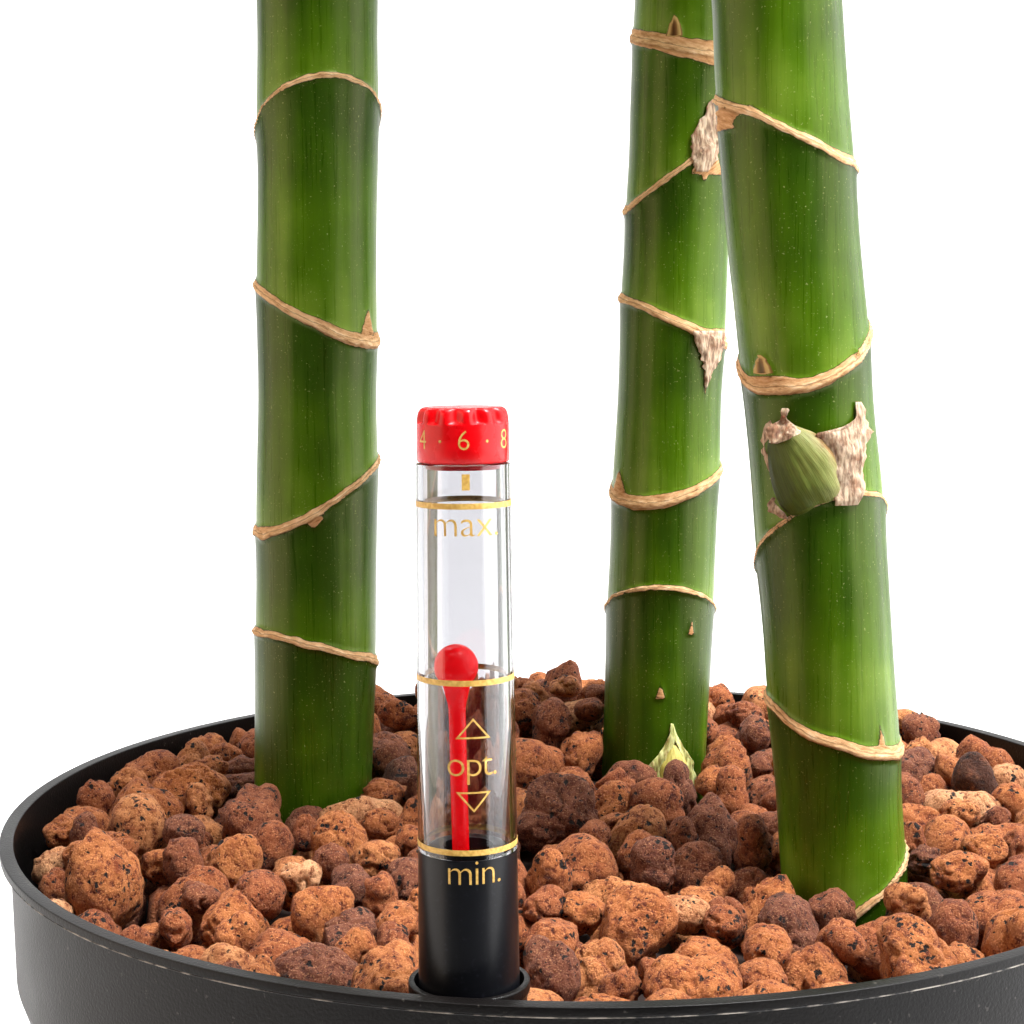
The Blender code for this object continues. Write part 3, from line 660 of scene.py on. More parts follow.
def fired_clay():
    """Expanded clay: each granule its own shade of brick, rugged, pitted and gritty."""
    material, add, finish = new_material("expanded_clay", 0.82, 1.5, Specular_IOR_Level=0.4)
    coords = add("TexCoord", gives="Object")
    tint = add("Attribute", gives="Fac", attribute_name="tint")
    soot = add("Attribute", gives="Fac", attribute_name="soot")
    base = add("ValToRGB", {"Fac": tint},
               stops=[(0.0, "#7c4730"), (0.3, "#a15a31"), (0.6, "#be733c"), (0.85, "#cb8752"),
                      (1.0, "#dfa678")])
    # Blotches 3 mm wide, where the kiln's heat varied.
    blotch = add("TexNoise", {"Vector": coords, "Scale": 330.0, "Detail": 8.0, "Roughness": 0.70})
    shade = add("ValToRGB", {"Fac": blotch},
                stops=[(0.32, "#a87c62"), (0.46, "#e8dacf"), (0.58, "#ffffff")])
    toned = add("Mix", {0: 1.0, 6: base, 7: shade}, 2, data_type="RGBA", blend_type="MULTIPLY")
    # The crust is rugged at every size from 1 mm down, and its hollows are darkened with painted
    # shade.
    rugged = add("TexNoise", {"Vector": coords, "Scale": 850.0, "Detail": 9.0, "Roughness": 0.72})
    cavity_shade = add("ValToRGB", {"Fac": rugged},
                stops=[(0.30, "#3a2014"), (0.40, "#a88068"), (0.49, "#ffffff")])
    shaded_crust = add("Mix", {0: 1.0, 6: toned, 7: cavity_shade}, 2, data_type="RGBA", blend_type="MULTIPLY")
    # Grit of 0.3 mm gets painted glints: pale specks added to the colour as highlights.
    grit = add("TexNoise", {"Vector": coords, "Scale": 3400.0, "Detail": 3.0})
    glint = add("ValToRGB", {"Fac": grit}, stops=[(0.56, "#000000"), (0.68, "#b08a62")])
    gritty = add("Mix", {0: 0.5, 6: shaded_crust, 7: glint}, 2, data_type="RGBA", blend_type="ADD")
    # A few granules are slag, dark all over; on the others soot is rare.
    smear = add("TexNoise", {"Vector": coords, "Scale": 420.0, "Detail": 6.0})
    sooty = add("Math", {0: soot, 1: 0.45, 2: smear}, operation="MULTIPLY_ADD")
    patch = add("MapRange", {"Value": sooty, "From Min": 0.66, "From Max": 0.92, "To Max": 0.85},
                interpolation_type="SMOOTHSTEP")
    darkened = add("Mix", {0: patch, 6: gritty, 7: "#66635f"}, 2, data_type="RGBA",
                   blend_type="MULTIPLY")
    # Pores 0.3 to 1 mm wide, in clusters: ragged cells, kept where a second noise is high.
    warp = add("TexNoise", {"Vector": coords, "Scale": 1400.0, "Detail": 3.0}, "Color")
    bent = add("Mix", {0: 0.0016, 4: coords, 5: warp}, 1, data_type="VECTOR")
    cells = add("TexVoronoi", {"Vector": bent, "Scale": 700.0})
    keep = add("TexNoise", {"Vector": coords, "Scale": 260.0, "Detail": 3.0})
    size = add("MapRange", {"Value": keep, "From Min": 0.45, "From Max": 0.68, "To Max": 0.48})
    hollow = add("Math", {0: size, 1: cells}, operation="SUBTRACT")
    pore = add("MapRange", {"Value": hollow, "From Min": -0.06, "From Max": 0.08},
               interpolation_type="SMOOTHSTEP")
    filled = add("Math", {0: 1.0, 1: pore}, operation="SUBTRACT")
    lump = add("Bump", {"Height": rugged, "Strength": 1.0, "Distance": 1.6 * MM})
    finish({"Base Color": add("Mix", {0: pore, 6: darkened, 7: "#140906"}, 2, data_type="RGBA"),
            "Normal": add("Bump", {"Height": filled, "Strength": 0.9, "Distance": 0.5 * MM,
                                   "Normal": lump})})
    return material


def above_rim(points):
    """Points in mm, with heights above the rim, as points in metres above the floor."""
    return points * MM + np.array([0.0, 0.0, rim])


def heap_piece(name, rng, granules, detail, node):
    """Granules joined in one piece; each has its own tint, and about one in fifty is slag."""
    ball, triangles = unit_ball(detail)
    parts = [granule_points(rng, ball, row[:3], row[3]) for row in np.array(granules)]
    faces = np.concatenate([triangles + number * len(ball) for number in range(len(parts))])
    tint = np.repeat(np.clip(rng.normal(0.45, 0.26, len(parts)), 0, 1), len(ball))
    chance = rng.random(len(parts))
    soot = np.repeat(np.where(chance > 0.98, 1.0, 0.3 * chance ** 2), len(ball))
    mesh = mesh_of(name, above_rim(np.concatenate(parts)), faces, {"tint": tint, "soot": soot})
    piece = finish_piece(name, mesh, clay, PLANT)
    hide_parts(node)


clay = fired_clay()
rng = np.random.default_rng(7)
loose = []
for number in range(1, 17):
    low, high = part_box("granule_%02d" % number)
    middle, size = (low + high) / 2 / MM, (high - low) / MM
    loose.append((middle[0], middle[1], middle[2] - rim / MM, sum(size) / 6))
pile = drop_granules(rng, loose)
for number, row in enumerate(loose, 1):
    heap_piece("loose_granule_%02d" % number, rng, [row], 5, "granule_%02d" % number)
# The nearer a granule is, the finer its mesh; those 6 mm deep in the pile hardly show.
rest = pile[len(loose):]
depth = pile_height(rest[:, 0], rest[:, 1]) - rest[:, 2] - rest[:, 3]
shown, hidden = rest[depth < 6.0], rest[depth >= 6.0]
front = shown[:, 1] < -48.0
middle = ~front & (shown[:, 1] < 30.0)
large = shown[:, 3] > 5.3
for name, granules, detail in (("front_large", shown[front & large], 5),
                               ("front_small", shown[front & ~large], 4),
                               ("middle", shown[middle], 4),
                               ("back", shown[~front & ~middle], 4), ("deep", hidden, 2)):
    heap_piece(name + "_granules", rng, granules, detail, "granule_bed")

# Below the sight of anyone the fill is one plug of the same clay, painted near black: painted shade
# for the deep gaps between the granules.
core_clay = mottled("gap_shade_clay", 0.95, 500.0, 5.0, [(0.3, "#140a07"), (0.7, "#2c170f")])
core_side = [(0.0, rim - 15.0 * MM), (60.0 * MM, rim - 18.0 * MM),
             (wall - 2.8 * MM, rim - 24.0 * MM), (wall - 4.2 * MM, rim - 30.0 * MM),
             (wall - 7.0 * MM, rim - 35.0 * MM), (95.5 * MM, 8.0 * MM), (93.0 * MM, 3.4 * MM),
             (0.0, 3.4 * MM)]
core = surface("granule_core", turn_profile(core_side, 96), core_clay, PLANT)
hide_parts("granule_bed")


# ---------------------------------------------------------------------------
# Canes. Living dracaena stems: a waxy green skin with fine lengthwise fibres, ringed by the
# raised corky scars of shed leaves, which slant, and a bud eye above some scars.
# ---------------------------------------------------------------------------
# Scars: height above the rim, rise toward a bearing (all in mm and degrees from the front,
# positive to the right), and half thickness in mm.
SCARS = {
    "left": [(26.6, 4.2, -51, 0.85), (58.6, 7.6, 118, 0.85), (96.4, 6.6, -109, 1.05),
             (134.5, 7.8, 23, 0.65)],
    "back": [(30.8, 6.4, -4, 0.60), (59.7, 4.5, 146, 1.10), (94.1, 5.2, -97, 1.05),
             (125.8, 8.5, 90, 0.80), (152.0, 3.4, -131, 1.80)],
    "right": [(-8.0, 7.0, 118, 0.75), (21.4, 4.7, -122, 1.00), (54.7, 8.6, 29, 0.55),
              (88.3, 7.0, 146, 1.00), (125.6, 6.1, -99, 0.80)],
}
# Corky patches on the skin: bearing, height, half width, height of the tip above the base
# (negative points down), all in mm and degrees.
PATCHES = {
    "left": [(63, 92.0, 2.0, 4.6), (5, 54.8, 2.2, -2.4), (86, 91.5, 2.6, -2.6)],
    "back": [(1, 13.5, 0.8, 3.0), (32, 27.0, 0.7, 2.6), (28, 125.0, 3.6, 7.0),
             (24, 125.5, 1.6, -3.0), (42, 91.0, 4.8, -8.0), (38, 86.0, 1.1, -8.0),
             (-62, 57.5, 2.6, 4.5), (16, -5.0, 3.8, 12.0)],
    "right": [(-46, 83.0, 4.0, -3.0), (36, 17.5, 1.0, 4.8), (-68, 126.5, 3.0, 5.0),
              (-60, 129.0, 4.5, -3.0)],
}
# Bud eyes, small arches on a scar: bearing, height, half width and height of the arch.
EYES = {"left": [], "back": [(-15, 152.4, 1.7, 4.6)],
        "right": [(-47, 83.6, 2.3, 4.0), (41, 86.6, 0.6, 1.4)]}


golden_angle = 137.5        # degrees from one leaf to the next up a stem


def scar_rows(cane):
    """The seen scars, and above them further ones up to the leaves, a golden angle apart."""
    scars = list(SCARS[cane])
    height, bearing = scars[-1][0], scars[-1][2]
    gap = 31.0
    leafy = CANES[cane][-1][2] - 66.0
    while height + gap < leafy:
        height, bearing, gap = height + gap, bearing + golden_angle, gap * 0.93
        scars.append((height, 5.0, bearing, 0.8))
    return scars


def round_skin(turn, bearing, radius):
    """Distance in mm round the skin from a bearing, positive to the right."""
    return (np.mod(turn - math.radians(bearing) + math.pi, 2 * math.pi) - math.pi) * radius


def cane_fields(cane, height, turn):
    """Relief in mm and the fields that the finish reads, at heights (mm) and bearings.

    cork: how far inside a corky scar or patch, in mm, and outside it negative.
    age: 0 just above a scar, 1 just under the next one up.
    ring: height in mm above the nearest scar's middle line, negative under it.
    eye: 1 in the middle of a bud eye, 0 at its edge and below 0 outside it.
    """
    radius = axis_at(cane, height)[2]
    spot = np.stack([np.sin(turn) * radius, np.cos(turn) * radius, height], axis=-1)
    waver = 0.35 * noise(spot, 5.0, 3, 3)
    cork = np.full(height.shape, -9.0)
    above = np.full(height.shape, 60.0)
    below = np.full(height.shape, 60.0)
    for number, (middle, rise, bearing, half) in enumerate(scar_rows(cane)):
        line = middle + rise * np.cos(turn - math.radians(bearing)) + waver
        away = height - line
        low_side = 0.5 - 0.5 * np.cos(turn - math.radians(bearing))
        thick = half * (0.80 + 0.5 * low_side ** 2) + 0.14 * noise(spot, 2.2, number + 20, 2)
        cork = np.maximum(cork, thick - np.abs(away))
        above = np.where(away < 0, np.minimum(above, -away), above)
        below = np.where(away >= 0, np.minimum(below, away), below)
    ring = np.where(below < above, below, -above)
    for bearing, base, half, tall in PATCHES[cane]:
        offset = round_skin(turn, bearing, radius)
        share = (height - base) / tall
        edge = half * (1.0 - share) - np.abs(offset) + 0.3 * waver
        inside = np.minimum(edge * 0.8, (share + 0.12) * abs(tall))
        cork = np.maximum(cork, inside)
    eye = np.full(height.shape, -1.0)
    for bearing, base, half, tall in EYES[cane]:
        offset = round_skin(turn, bearing, radius)
        share = np.clip((height - base) / tall, 0.0, 1.0)
        width = half * np.maximum(1.0 - share ** 1.7, 0.02)
        inside = np.where(height > base, 1.0 - np.abs(offset) / width, -1.0)
        eye = np.maximum(eye, np.minimum(inside, 2.5 * (1.0 - share)))
    age = below / np.maximum(below + above, 1.0)
    relief = 0.42 * np.clip(cork / 0.5 + 0.6, 0.0, 1.0) * (1.0 + 0.15 * noise(spot, 1.6, 7, 2))
    relief += 0.28 * np.exp(-above / 5.0) - 0.15 * np.exp(-below / 1.8)
    relief -= 0.20 * np.sin(math.pi * age) + 0.24 * noise(spot, 24.0, 11, 2)
    relief += 0.03 * noise(spot * np.array([1.0, 1.0, 0.04]), 1.1, 13, 2)
    relief += 0.9 * np.clip(3.5 * eye, 0.0, 1.0) - 0.4 * np.clip(4.0 * eye - 1.6, 0.0, 1.0)
    return relief - 0.1, {"cork": cork, "age": age, "ring": ring, "eye": eye}


def living_bark():
    """Waxy green skin: dark under each scar and paler above one, streaked by its fibres."""
    material, add, finish = new_material("living_cane_skin", 0.30, 1.45, Specular_Tint="#fffcb8",
                                         Specular_IOR_Level=0.42, Subsurface_Weight=0.04,
                                         Subsurface_Scale=0.001)
    coords = add("TexCoord", gives="Object")
    cork, age, ring, eye = [add("Attribute", gives="Fac", attribute_name=name)
                            for name in ("cork", "age", "ring", "eye")]
    # Fibres 0.7 mm wide in bands of 5 mm, both 40 times as long.
    lengthwise = add("Mapping", {"Vector": coords, "Scale": (1.0, 1.0, 0.025)})
    broad = add("TexNoise", {"Vector": lengthwise, "Scale": 190.0, "Detail": 3.0})
    fibres = add("TexNoise", {"Vector": lengthwise, "Scale": 1500.0, "Detail": 5.0,
                              "Roughness": 0.6})
    cloud = add("TexNoise", {"Vector": coords, "Scale": 55.0, "Detail": 6.0})
    streak = add("Math", {0: broad, 1: 0.55, 2: -0.275}, operation="MULTIPLY_ADD")
    mottle = add("Math", {0: cloud, 1: 0.6, 2: -0.30}, operation="MULTIPLY_ADD")
    ripe = add("Math", {0: age, 1: -0.42, 2: 0.72}, operation="MULTIPLY_ADD")
    shade = add("Math", {0: ripe, 1: streak}, operation="ADD")
    shade = add("Math", {0: shade, 1: mottle}, operation="ADD")
    green = add("ValToRGB", {"Fac": shade},
                stops=[(0.12, "#1b3003"), (0.38, "#2a4604"), (0.62, "#456606"), (0.92, "#76932e")])
    streaked = add("ValToRGB", {"Fac": fibres}, stops=[(0.32, "#dce1d0"), (0.52, "#ffffff")])
    skin = add("Mix", {0: 0.7, 6: green, 7: streaked}, 2, data_type="RGBA", blend_type="MULTIPLY")
    # Pale dots of wax and dust; they are 0.1 mm, and are drawn at 0.2 mm.
    dots = add("TexNoise", {"Vector": coords, "Scale": 2600.0, "Detail": 1.0})
    waxy = add("MapRange", {"Value": dots, "From Min": 0.69, "From Max": 0.78, "To Max": 0.45})
    dusted = add("Mix", {0: waxy, 6: skin, 7: "#b3b878"}, 2, data_type="RGBA")
    # Cork: strands 2 mm long and 0.6 mm thick that run along the scar, a dark split in it and
    # a dark lower edge.
    spot = add("SeparateXYZ", {"Vector": coords}).node.outputs
    flat = [add("Math", {0: spot[axis], 1: 0.45}, operation="MULTIPLY") for axis in ("X", "Y")]
    lift = add("Math", {0: ring, 1: 0.0016}, operation="MULTIPLY")
    along_scar = add("CombineXYZ", {"X": flat[0], "Y": flat[1], "Z": lift})
    crumb = add("TexNoise", {"Vector": along_scar, "Scale": 1100.0, "Detail": 6.0,
                             "Roughness": 0.62})
    tan = add("ValToRGB", {"Fac": crumb},
              stops=[(0.28, "#8a6040"), (0.40, "#c09468"), (0.55, "#d8b084"), (0.72, "#ecd0ac")])
    drift = add("Math", {0: crumb, 1: 0.7, 2: -0.35}, operation="MULTIPLY_ADD")
    level = add("Math", {0: ring, 1: drift}, operation="ADD")
    place = add("MapRange", {"Value": level, "From Min": -1.5, "From Max": 1.5})
    layers = add("ValToRGB", {"Fac": place},
                 stops=[(0.0, "#dcc0a8"), (0.14, "#8d6c50"), (0.32, "#ffffff"), (0.47, "#ffffff"),
                        (0.52, "#5c3e28"), (0.57, "#ffffff"), (0.80, "#e8d4c4"), (1.0, "#dcc0a8")])
    layered = add("Mix", {0: 0.65, 6: tan, 7: layers}, 2, data_type="RGBA", blend_type="MULTIPLY")
    ragged = add("Math", {0: crumb, 1: 0.55, 2: cork}, operation="MULTIPLY_ADD")
    corky = add("MapRange", {"Value": ragged, "From Min": 0.20, "From Max": 0.34},
                interpolation_type="SMOOTHSTEP")
    lined = add("MapRange", {"Value": ragged, "From Min": 0.02, "From Max": 0.22},
                interpolation_type="SMOOTHSTEP")
    shaded = add("Mix", {0: lined, 6: dusted, 7: "#8a7a58"}, 2, data_type="RGBA",
                 blend_type="MULTIPLY")
    barked = add("Mix", {0: corky, 6: shaded, 7: layered}, 2, data_type="RGBA")
    # Bud eyes: a brown outline, a yellow-green cushion and a brown core.
    cushion = add("ValToRGB", {"Fac": eye},
                  stops=[(0.0, "#6a4528"), (0.14, "#8a623a"), (0.24, "#c4a468"),
                         (0.50, "#b8925c"), (0.68, "#7a5230"), (0.85, "#4a2d18")])
    budding = add("MapRange", {"Value": eye, "From Min": 0.0, "From Max": 0.04})
    gloss = add("MapRange", {"Value": fibres, "From Min": 0.3, "From Max": 0.7, "To Min": 0.24,
                             "To Max": 0.38})
    ribs = add("Bump", {"Height": fibres, "Strength": 0.25, "Distance": 0.12 * MM})
    rough_cork = add("Math", {0: crumb, 1: corky}, operation="MULTIPLY")
    finish({"Base Color": add("Mix", {0: budding, 6: barked, 7: cushion}, 2, data_type="RGBA"),
            "Roughness": add("Mix", {0: corky, 2: gloss, 3: 0.85}),
            "Normal": add("Bump", {"Height": rough_cork, "Strength": 0.8, "Distance": 0.35 * MM,
                                   "Normal": ribs})})
    return material


def standing_round(axis, reach, turn, height):
    """Points at their reach from a cane's axis (x, y), their bearing and their height."""
    return np.stack([axis[0] + reach * np.sin(turn), axis[1] - reach * np.cos(turn), height],
                    axis=-1)


def cane_points(cane, columns=112):
    """The cane's grid, from its rounded crown down to its foot, and its fields."""
    foot, crown = CANES[cane][0][2], CANES[cane][-1][2]
    radius = CANES[cane][-1][3]
    heights = np.concatenate([np.arange(crown, 168.0, -1.3), np.arange(168.0, -18.0, -0.6),
                              np.linspace(-18.0, foot, 7)])
    turn = np.arange(columns) * 2 * math.pi / columns
    height, turn = np.meshgrid(heights, turn, indexing="ij")
    relief, values = cane_fields(cane, height, turn)
    x, y, skin = axis_at(cane, height)
    reach = skin + relief
    points = standing_round((x, y), reach, turn, height)
    dome = [(0.0, 0.62), (0.25, 0.60), (0.5, 0.52), (0.8, 0.28)]
    top = [standing_round((x[0], y[0]), reach[0] * share, turn[0],
                          np.full(columns, crown + radius * lift)) for share, lift in dome]
    base = np.stack([x[-1], y[-1], height[-1]], axis=-1)[None]
    points = np.concatenate([np.array(top), points, base])
    fields = {}
    for name, edge in (("cork", -5.0), ("age", 0.2), ("ring", 20.0), ("eye", -1.0)):
        ends = np.full((1, columns), edge)
        fields[name] = np.concatenate([np.repeat(ends, len(dome), axis=0), values[name], ends])
    return above_rim(points), fields


bark = living_bark()
for cane in CANES:
    points, fields = cane_points(cane)
    stem = surface("stem_" + cane, points, bark, PLANT, fields=fields)
    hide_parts("cane_" + cane)


# ---------------------------------------------------------------------------
# Buds and dry leaf bases. A plump green side bud on the right cane and a small pale one at the
# back cane's foot, each wrapped in the papery, torn remains of the leaf that grew there.
# ---------------------------------------------------------------------------


def hugging_bud(name, cane, centre, outline, bulge, tip, green, node):
    """A bud that clasps the cane, from its outline as (bearing, height) points round centre.

    At share q of the way to the outline it stands bulge * (1 - q ** 2.6) ** 0.6 off the skin.
    """
    degree = 0.25                           # mm of skin to a degree of bearing
    table = np.array(outline, dtype=float) - centre
    table[:, 0] *= degree
    angles, reaches = np.arctan2(table[:, 1], table[:, 0]), np.hypot(table[:, 0], table[:, 1])
    order = np.argsort(angles)
    turn = np.arange(64) * 2 * math.pi / 64 - math.pi
    edge = np.interp(turn, angles[order], reaches[order], period=2 * math.pi)
    for smoothing in range(2):
        edge = (np.roll(edge, 1) + 2 * edge + np.roll(edge, -1)) / 4
    q = np.concatenate([np.linspace(0.0, 0.8, 15), np.linspace(0.84, 1.0, 8), [1.0, 0.0]])[:, None]
    lift = bulge * np.maximum(1.0 - q ** 2.6, 0.0) ** 0.6
    lift[-2:] = -1.2                        # the rim turns in and closes under the skin
    side, up = q * edge * np.cos(turn), q * edge * np.sin(turn)
    bearing, high = np.radians(centre[0] + side / degree), centre[1] + up
    # Along the bud from the middle of its base to its tip, and across that line.
    foot = np.array([-(tip[0] - centre[0]) * degree / 2, -(tip[1] - centre[1]) * 0.8])
    ahead = np.array([(tip[0] - centre[0]) * degree, tip[1] - centre[1]]) - foot
    length = np.hypot(*ahead)
    along = ((side - foot[0]) * ahead[0] + (up - foot[1]) * ahead[1]) / length ** 2
    over = ((side - foot[0]) * ahead[1] - (up - foot[1]) * ahead[0]) / length
    half = 0.5 * length * np.maximum(1.0 - np.clip(along, 0.0, 1.0) ** 2.4, 0.02) ** 0.6
    meridian = np.clip(0.5 + 0.5 * over / half, 0.0, 1.0)
    x, y, radius = axis_at(cane, high)
    grain = np.stack([side, up, up * 0.0], axis=-1)
    reach = radius + cane_fields(cane, high, bearing)[0] * 0.5 + lift
    reach += np.where(q < 0.99, 0.06 * np.cos(60.0 * meridian) + 0.15 * noise(grain, 3.0, 70, 2), 0)
    points = above_rim(standing_round((x, y), reach, bearing, high))
    bud = surface(name, points, green, PLANT, fields={"meridian": meridian, "tip": along})
    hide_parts(node)


def bud_skin(name, shades, stripe):
    """Young bud scales: matt, darker on one side, with fine stripes from base to tip."""
    material, add, finish = new_material(name, 0.55, 1.45, Specular_IOR_Level=0.30,
                                         Subsurface_Weight=0.1, Subsurface_Scale=0.002)
    coords = add("TexCoord", gives="Object")
    meridian = add("Attribute", gives="Fac", attribute_name="meridian")
    tip = add("Attribute", gives="Fac", attribute_name="tip")
    squeeze = add("Mapping", {"Vector": add("CombineXYZ", {"X": meridian, "Y": tip}),
                              "Scale": (90.0, 5.0, 1.0)})
    lines = add("TexNoise", {"Vector": squeeze, "Scale": 1.0, "Detail": 4.0})
    broad = add("TexNoise", {"Vector": coords, "Scale": 160.0, "Detail": 4.0})
    spot = add("Math", {0: broad, 1: 0.36, 2: meridian}, operation="MULTIPLY_ADD")
    tone = add("ValToRGB", {"Fac": add("Math", {0: spot, 1: 0.18}, operation="SUBTRACT")},
               stops=shades)
    line = add("ValToRGB", {"Fac": lines}, stops=[(0.42, stripe), (0.58, "#ffffff")])
    finish({"Base Color": add("Mix", {0: 0.8, 6: tone, 7: line}, 2, data_type="RGBA",
                              blend_type="MULTIPLY"),
            "Normal": add("Bump", {"Height": lines, "Strength": 0.5, "Distance": 0.15 * MM})})
    return material


green_scales = bud_skin("green_bud_scales", [(0.05, "#353f0c"), (0.35, "#455010"),
                                             (0.6, "#626d2a"), (0.82, "#84874a"),
                                             (0.95, "#978e60"), (1.0, "#84643e")], "#cdd2b4")
pale_scales = bud_skin("pale_bud_scales", [(0.1, "#b9ad4e"), (0.5, "#e2d884"), (0.9, "#cdb868")],
                       "#b5a96c")
side_outline = [(-47, 72.2), (-39, 74.8), (-30, 75.3), (-15, 74.4), (0, 73.0), (9, 70.6),
                (12, 67.0), (13, 63.4), (-8, 61.6), (-32, 59.3), (-41, 61.6), (-46, 65.0),
                (-48, 68.5)]
base_outline = [(18, 3.4), (8, 0.6), (0, -4), (6, -10), (28, -10), (36, -4), (27, 0.6)]
hugging_bud("side_bud_scales", "right", (-17.0, 67.0), side_outline, 2.9, (-36.0, 75.5),
            green_scales, "side_bud")
hugging_bud("base_bud_scales", "back", (17.5, -3.5), base_outline, 2.1, (18.0, 3.6),
            pale_scales, "base_bud")


def fibrous_paper(name, dark, middle, light):
    """A dry leaf base: fibres pressed in a thin sheet, stained where it tore."""
    material, add, finish = new_material(name, 0.78, 1.45, Subsurface_Weight=0.1,
                                         Subsurface_Scale=0.001)
    coords = add("TexCoord", gives="Object")
    lengthwise = add("Mapping", {"Vector": coords, "Scale": (1.0, 1.0, 0.25)})
    strands = add("TexNoise", {"Vector": lengthwise, "Scale": 1700.0, "Detail": 6.0})
    stain = add("TexNoise", {"Vector": coords, "Scale": 330.0, "Detail": 4.0})
    pale = add("ValToRGB", {"Fac": strands}, stops=[(0.34, dark), (0.46, middle), (0.60, light)])
    brown = add("ValToRGB", {"Fac": stain}, stops=[(0.34, "#a87c5c"), (0.50, "#ffffff")])
    finish({"Base Color": add("Mix", {0: 0.8, 6: pale, 7: brown}, 2, data_type="RGBA",
                              blend_type="MULTIPLY"),
            "Normal": add("Bump", {"Height": strands, "Strength": 0.8, "Distance": 0.3 * MM})})
    return material


straw = fibrous_paper("dry_leaf_base", "#7a6250", "#a58a70", "#c8b096")
young = fibrous_paper("young_bud_sheath", "#8c8446", "#aeb066", "#d2d090")


def closed_sheet(front, back):
    """The grid of a thin sheet from its two faces: one loop a row, closed at both ends."""
    loop = np.concatenate([front, back[:, ::-1]], axis=1)
    ends = [np.repeat(loop[end].mean(axis=0)[None, None], loop.shape[1], axis=1)
            for end in (0, -1)]
    return np.concatenate([ends[0], loop, ends[1]], axis=0)


def dry_base(name, cane, outline, node, paper=straw, fray=2.6, columns=18, rows=26):
    """A torn papery scrap that hugs the cane, from rows of (height, left and right bearing,
    lift off the skin), top row first; its edges are frayed and its face is crumpled."""
    table = np.array(outline)
    share = np.linspace(0.0, 1.0, rows)
    height, left, right, lift = [np.interp(share * (len(table) - 1), np.arange(len(table)), line)
                                 for line in table.T]
    spots = np.stack([height * 3, left * 0, left * 0], axis=-1)
    left = left + fray * noise(spots, 2.4, 40, 2)
    right = right + fray * noise(spots, 2.4, 50, 2)
    across = np.linspace(0.0, 1.0, columns)
    bearing = np.radians(left[:, None] + (right - left)[:, None] * across)
    high = np.repeat(height[:, None], columns, axis=1)
    x, y, radius = axis_at(cane, high)
    relief = cane_fields(cane, high, bearing)[0]
    folds = np.stack([np.sin(bearing) * radius, np.cos(bearing) * radius, high * 0.6], axis=-1)
    skin = radius + relief + lift[:, None] * (0.8 + 0.5 * noise(folds, 2.0, 60, 3))
    thick = 0.16
    sides = [standing_round((x, y), skin - depth, bearing, high) for depth in (0.0, thick)]
    piece = surface(name, above_rim(closed_sheet(*sides)), paper, PLANT)
    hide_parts(node)


for name, outline in (
        ("bud_remnant", [(78.9, 36, 43.5, 0.6), (76.9, 33, 45, 0.8), (74.9, 26, 45.5, 0.8),
                         (73.6, -6, 44.5, 1.6), (72.3, 0, 43, 1.6), (70.3, 5, 39, 1.4),
                         (68.0, 6, 36.5, 1.2), (65.9, 6, 35.5, 1.2), (64.2, 6, 32.5, 1.0),
                         (61.2, 6, 27.7, 0.6)]),
        ("bud_left_edge", [(75.9, -41, -38, 2.4), (73.5, -47, -42.5, 2.2), (71.7, -50, -45, 1.9),
                           (69.7, -51, -45.5, 1.6), (68.0, -49, -43.5, 1.5),
                           (65.9, -45, -39.5, 1.5), (62.8, -39, -34, 1.4),
                           (60.0, -33, -29, 0.6)]),
        ("bud_tip_paper", [(78.0, -29, -25, 3.0), (76.6, -32, -24.5, 3.4), (75.2, -35, -21, 3.6),
                           (74.2, -37, -16, 3.6), (73.2, -38.5, -21, 3.6),
                           (72.0, -40, -30, 3.4)]),
        ("small_bract", [(62.4, -45, -42.5, 1.6), (61.0, -47.5, -38, 1.9), (59.9, -44, -34.5, 1.8),
                         (58.8, -41, -31, 0.6)])):
    dry_base(name, "right", outline, "side_bud")
for name, outline in (
        ("leaf_base_flap", [(139.6, 29, 32, 0.8), (136.0, 18, 37, 0.9), (133.0, 9, 39, 0.9),
                            (130.4, 7.5, 40, 0.8), (128.4, 6.8, 38, 0.8), (126.4, 10, 32, 0.6),
                            (124.6, 13, 24, 0.4)]),
        ("leaf_base_tongue", [(91.6, 15, 62, 0.5), (89.5, 21, 62, 0.7), (87.0, 27, 60, 0.7),
                              (85.2, 30.5, 57, 0.6), (83.4, 34, 50, 0.5), (81.9, 36.6, 45, 0.5),
                              (79.5, 37.5, 41, 0.3)])):
    dry_base(name, "back", outline, "cane_back")
for name, outline in (
        ("base_bud_sheath", [(7.6, 14, 15.5, 0.3), (5.0, 12, 18, 0.6), (2.6, 7, 16, 1.0),
                             (0.0, -3, 10, 1.3), (-3.0, -14, 4, 1.5), (-7.5, -17, 3, 1.4)]),
        ("base_bud_sheath_right", [(7.5, 15, 16.5, 0.3), (4.8, 16.5, 21, 0.6), (1.6, 23, 32, 1.1),
                                   (-1.6, 30, 42, 1.4), (-4.7, 33, 46, 1.5),
                                   (-7.5, 34, 47, 1.4)])):
    dry_base(name, "back", outline, "base_bud", young, 0.7)


# ---------------------------------------------------------------------------
# Leaves. Strap-shaped dracaena leaves that clasp the top of each cane and arch away: leathery,
# glossy, with close parallel veins, a paler midrib and a thin yellow-green edge.
# ---------------------------------------------------------------------------
# Leaves to a crown, bearing of the lowest in degrees, and length of the longest in mm.
CROWNS = {"left": (8, 72.0, 185.0), "back": (9, 144.0, 205.0), "right": (8, 72.0, 165.0)}


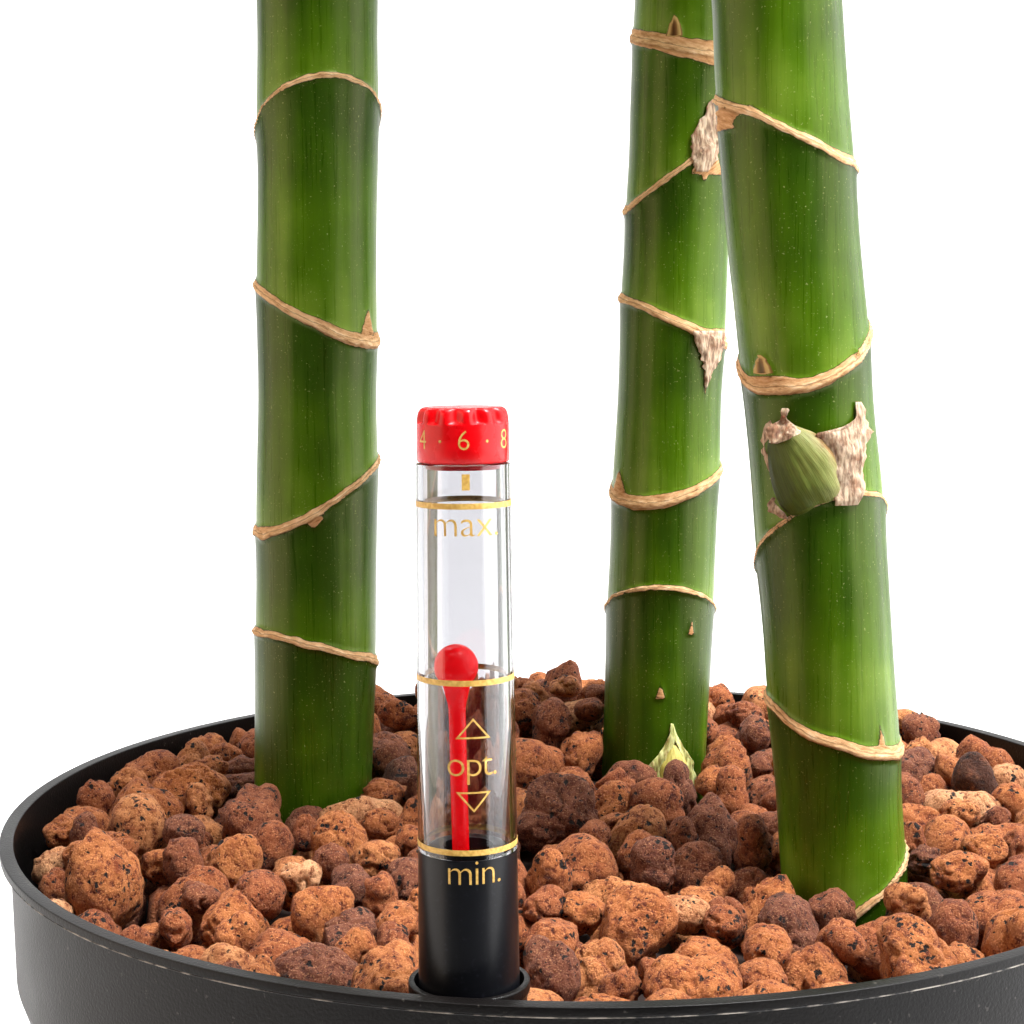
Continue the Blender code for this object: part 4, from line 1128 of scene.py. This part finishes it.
def leaf_points(cane, index, rows=36, half=6):
    """One leaf's closed grid, and how far along and across it each point lies.

    The slope falls from launch by droop * s ** 1.4 along the leaf, the half width is
    w * (0.55 + 0.45 sin(pi min(1.6 s, 0.5))) * (1 - s ** 3.2), and the blade folds up in a V.
    """
    count, first_turn, longest = CROWNS[cane]
    height = CANES[cane][-1][2] - (count - 1 - index) * 8.5 - 1.0
    x0, y0, radius = [float(value) for value in axis_at(cane, height)]
    youth = index / (count - 1)
    bearing = math.radians(first_turn + golden_angle * index)
    length = longest * (1.0 - 0.22 * youth)
    launch, droop = math.radians(42.0 + 40.0 * youth), math.radians(52.0 - 34.0 * youth)
    s = np.linspace(0.0, 1.0, rows)
    slope = launch - droop * (s + 1 / 22) ** 1.4
    step = length / (rows - 1)
    reach = radius + 0.8 + np.concatenate([[0.0], np.cumsum(np.cos(slope[:-1])) * step])
    rise = height + np.concatenate([[0.0], np.cumsum(np.sin(slope[:-1])) * step])
    spread = (15.5 - 3.0 * youth) * (0.55 + 0.45 * np.sin(math.pi * np.minimum(s * 1.6, 0.5)))
    spread = spread * np.maximum(1.0 - s ** 3.2, 0.03)
    across = np.linspace(-1.0, 1.0, 2 * half + 1)
    turn = bearing + across * (spread / reach)[:, None]
    fold = np.abs(across) ** 1.15 * (spread * 0.30 * np.minimum(s * 4.0, 1.0))[:, None]
    wave = 0.5 * np.sin(s * 23.0 + index)[:, None] * np.abs(across) ** 3 * np.sign(across)
    high = rise[:, None] + fold + wave
    thick = 0.38 - 0.22 * across ** 2
    far = np.repeat(reach[:, None], len(across), axis=1)
    sides = [np.stack([x0 + far * np.cos(turn), y0 + far * np.sin(turn), high + lift], axis=-1)
             for lift in (thick, -thick)]
    sideways = np.concatenate([across, across[::-1]])
    along = np.concatenate([[0.0], s, [1.0]])
    fields = {"sideways": np.repeat(sideways[None], rows + 2, axis=0),
              "along": np.repeat(along[:, None], len(sideways), axis=1)}
    return above_rim(closed_sheet(*sides)), fields


def leaf_blade():
    """Leathery glossy blade: veins 0.7 mm apart, a pale midrib and paler edges and base."""
    material, add, finish = new_material("dracaena_leaf", 0.34, 1.45, Coat_Weight=0.2,
                                         Coat_Roughness=0.25, Subsurface_Weight=0.08,
                                         Subsurface_Scale=0.002)
    coords = add("TexCoord", gives="Object")
    sideways = add("Attribute", gives="Fac", attribute_name="sideways")
    along = add("Attribute", gives="Fac", attribute_name="along")
    squeeze = add("Mapping", {"Vector": add("CombineXYZ", {"X": sideways, "Y": along}),
                              "Scale": (22.0, 2.5, 1.0)})
    veins = add("TexNoise", {"Vector": squeeze, "Scale": 1.0, "Detail": 4.0, "Roughness": 0.6})
    cloud = add("TexNoise", {"Vector": coords, "Scale": 45.0, "Detail": 4.0})
    tone = add("Math", {0: veins, 1: 0.5, 2: 0.0}, operation="MULTIPLY_ADD")
    tone = add("Math", {0: cloud, 1: 0.5, 2: tone}, operation="MULTIPLY_ADD")
    green = add("ValToRGB", {"Fac": tone},
                stops=[(0.32, "#1f3f0b"), (0.5, "#2f5a10"), (0.68, "#457a1c")])
    side = add("Math", {0: sideways}, operation="ABSOLUTE")
    lighter = add("ValToRGB", {"Fac": side},
                  stops=[(0.0, "#a5b86a"), (0.05, "#000000"), (0.95, "#000000"),
                         (1.0, "#b7b46a")])
    ribbed = add("Mix", {0: 0.45, 6: green, 7: lighter}, 2, data_type="RGBA", blend_type="ADD")
    young = add("MapRange", {"Value": along, "From Max": 0.10, "To Min": 0.75, "To Max": 0.0})
    finish({"Base Color": add("Mix", {0: young, 6: ribbed, 7: "#a9b873"}, 2, data_type="RGBA"),
            "Roughness": add("MapRange", {"Value": cloud, "From Min": 0.3, "From Max": 0.7,
                                          "To Min": 0.28, "To Max": 0.42}),
            "Normal": add("Bump", {"Height": veins, "Strength": 0.5, "Distance": 0.15 * MM})})
    return material


blade = leaf_blade()
for cane, (count, *_) in CROWNS.items():
    for index in range(count):
        points, fields = leaf_points(cane, index)
        name = "leaf_%s_%d" % (cane, index + 1)
        leaf = surface(name + "_blade", points, blade, PLANT, fields=fields)
        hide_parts(name)
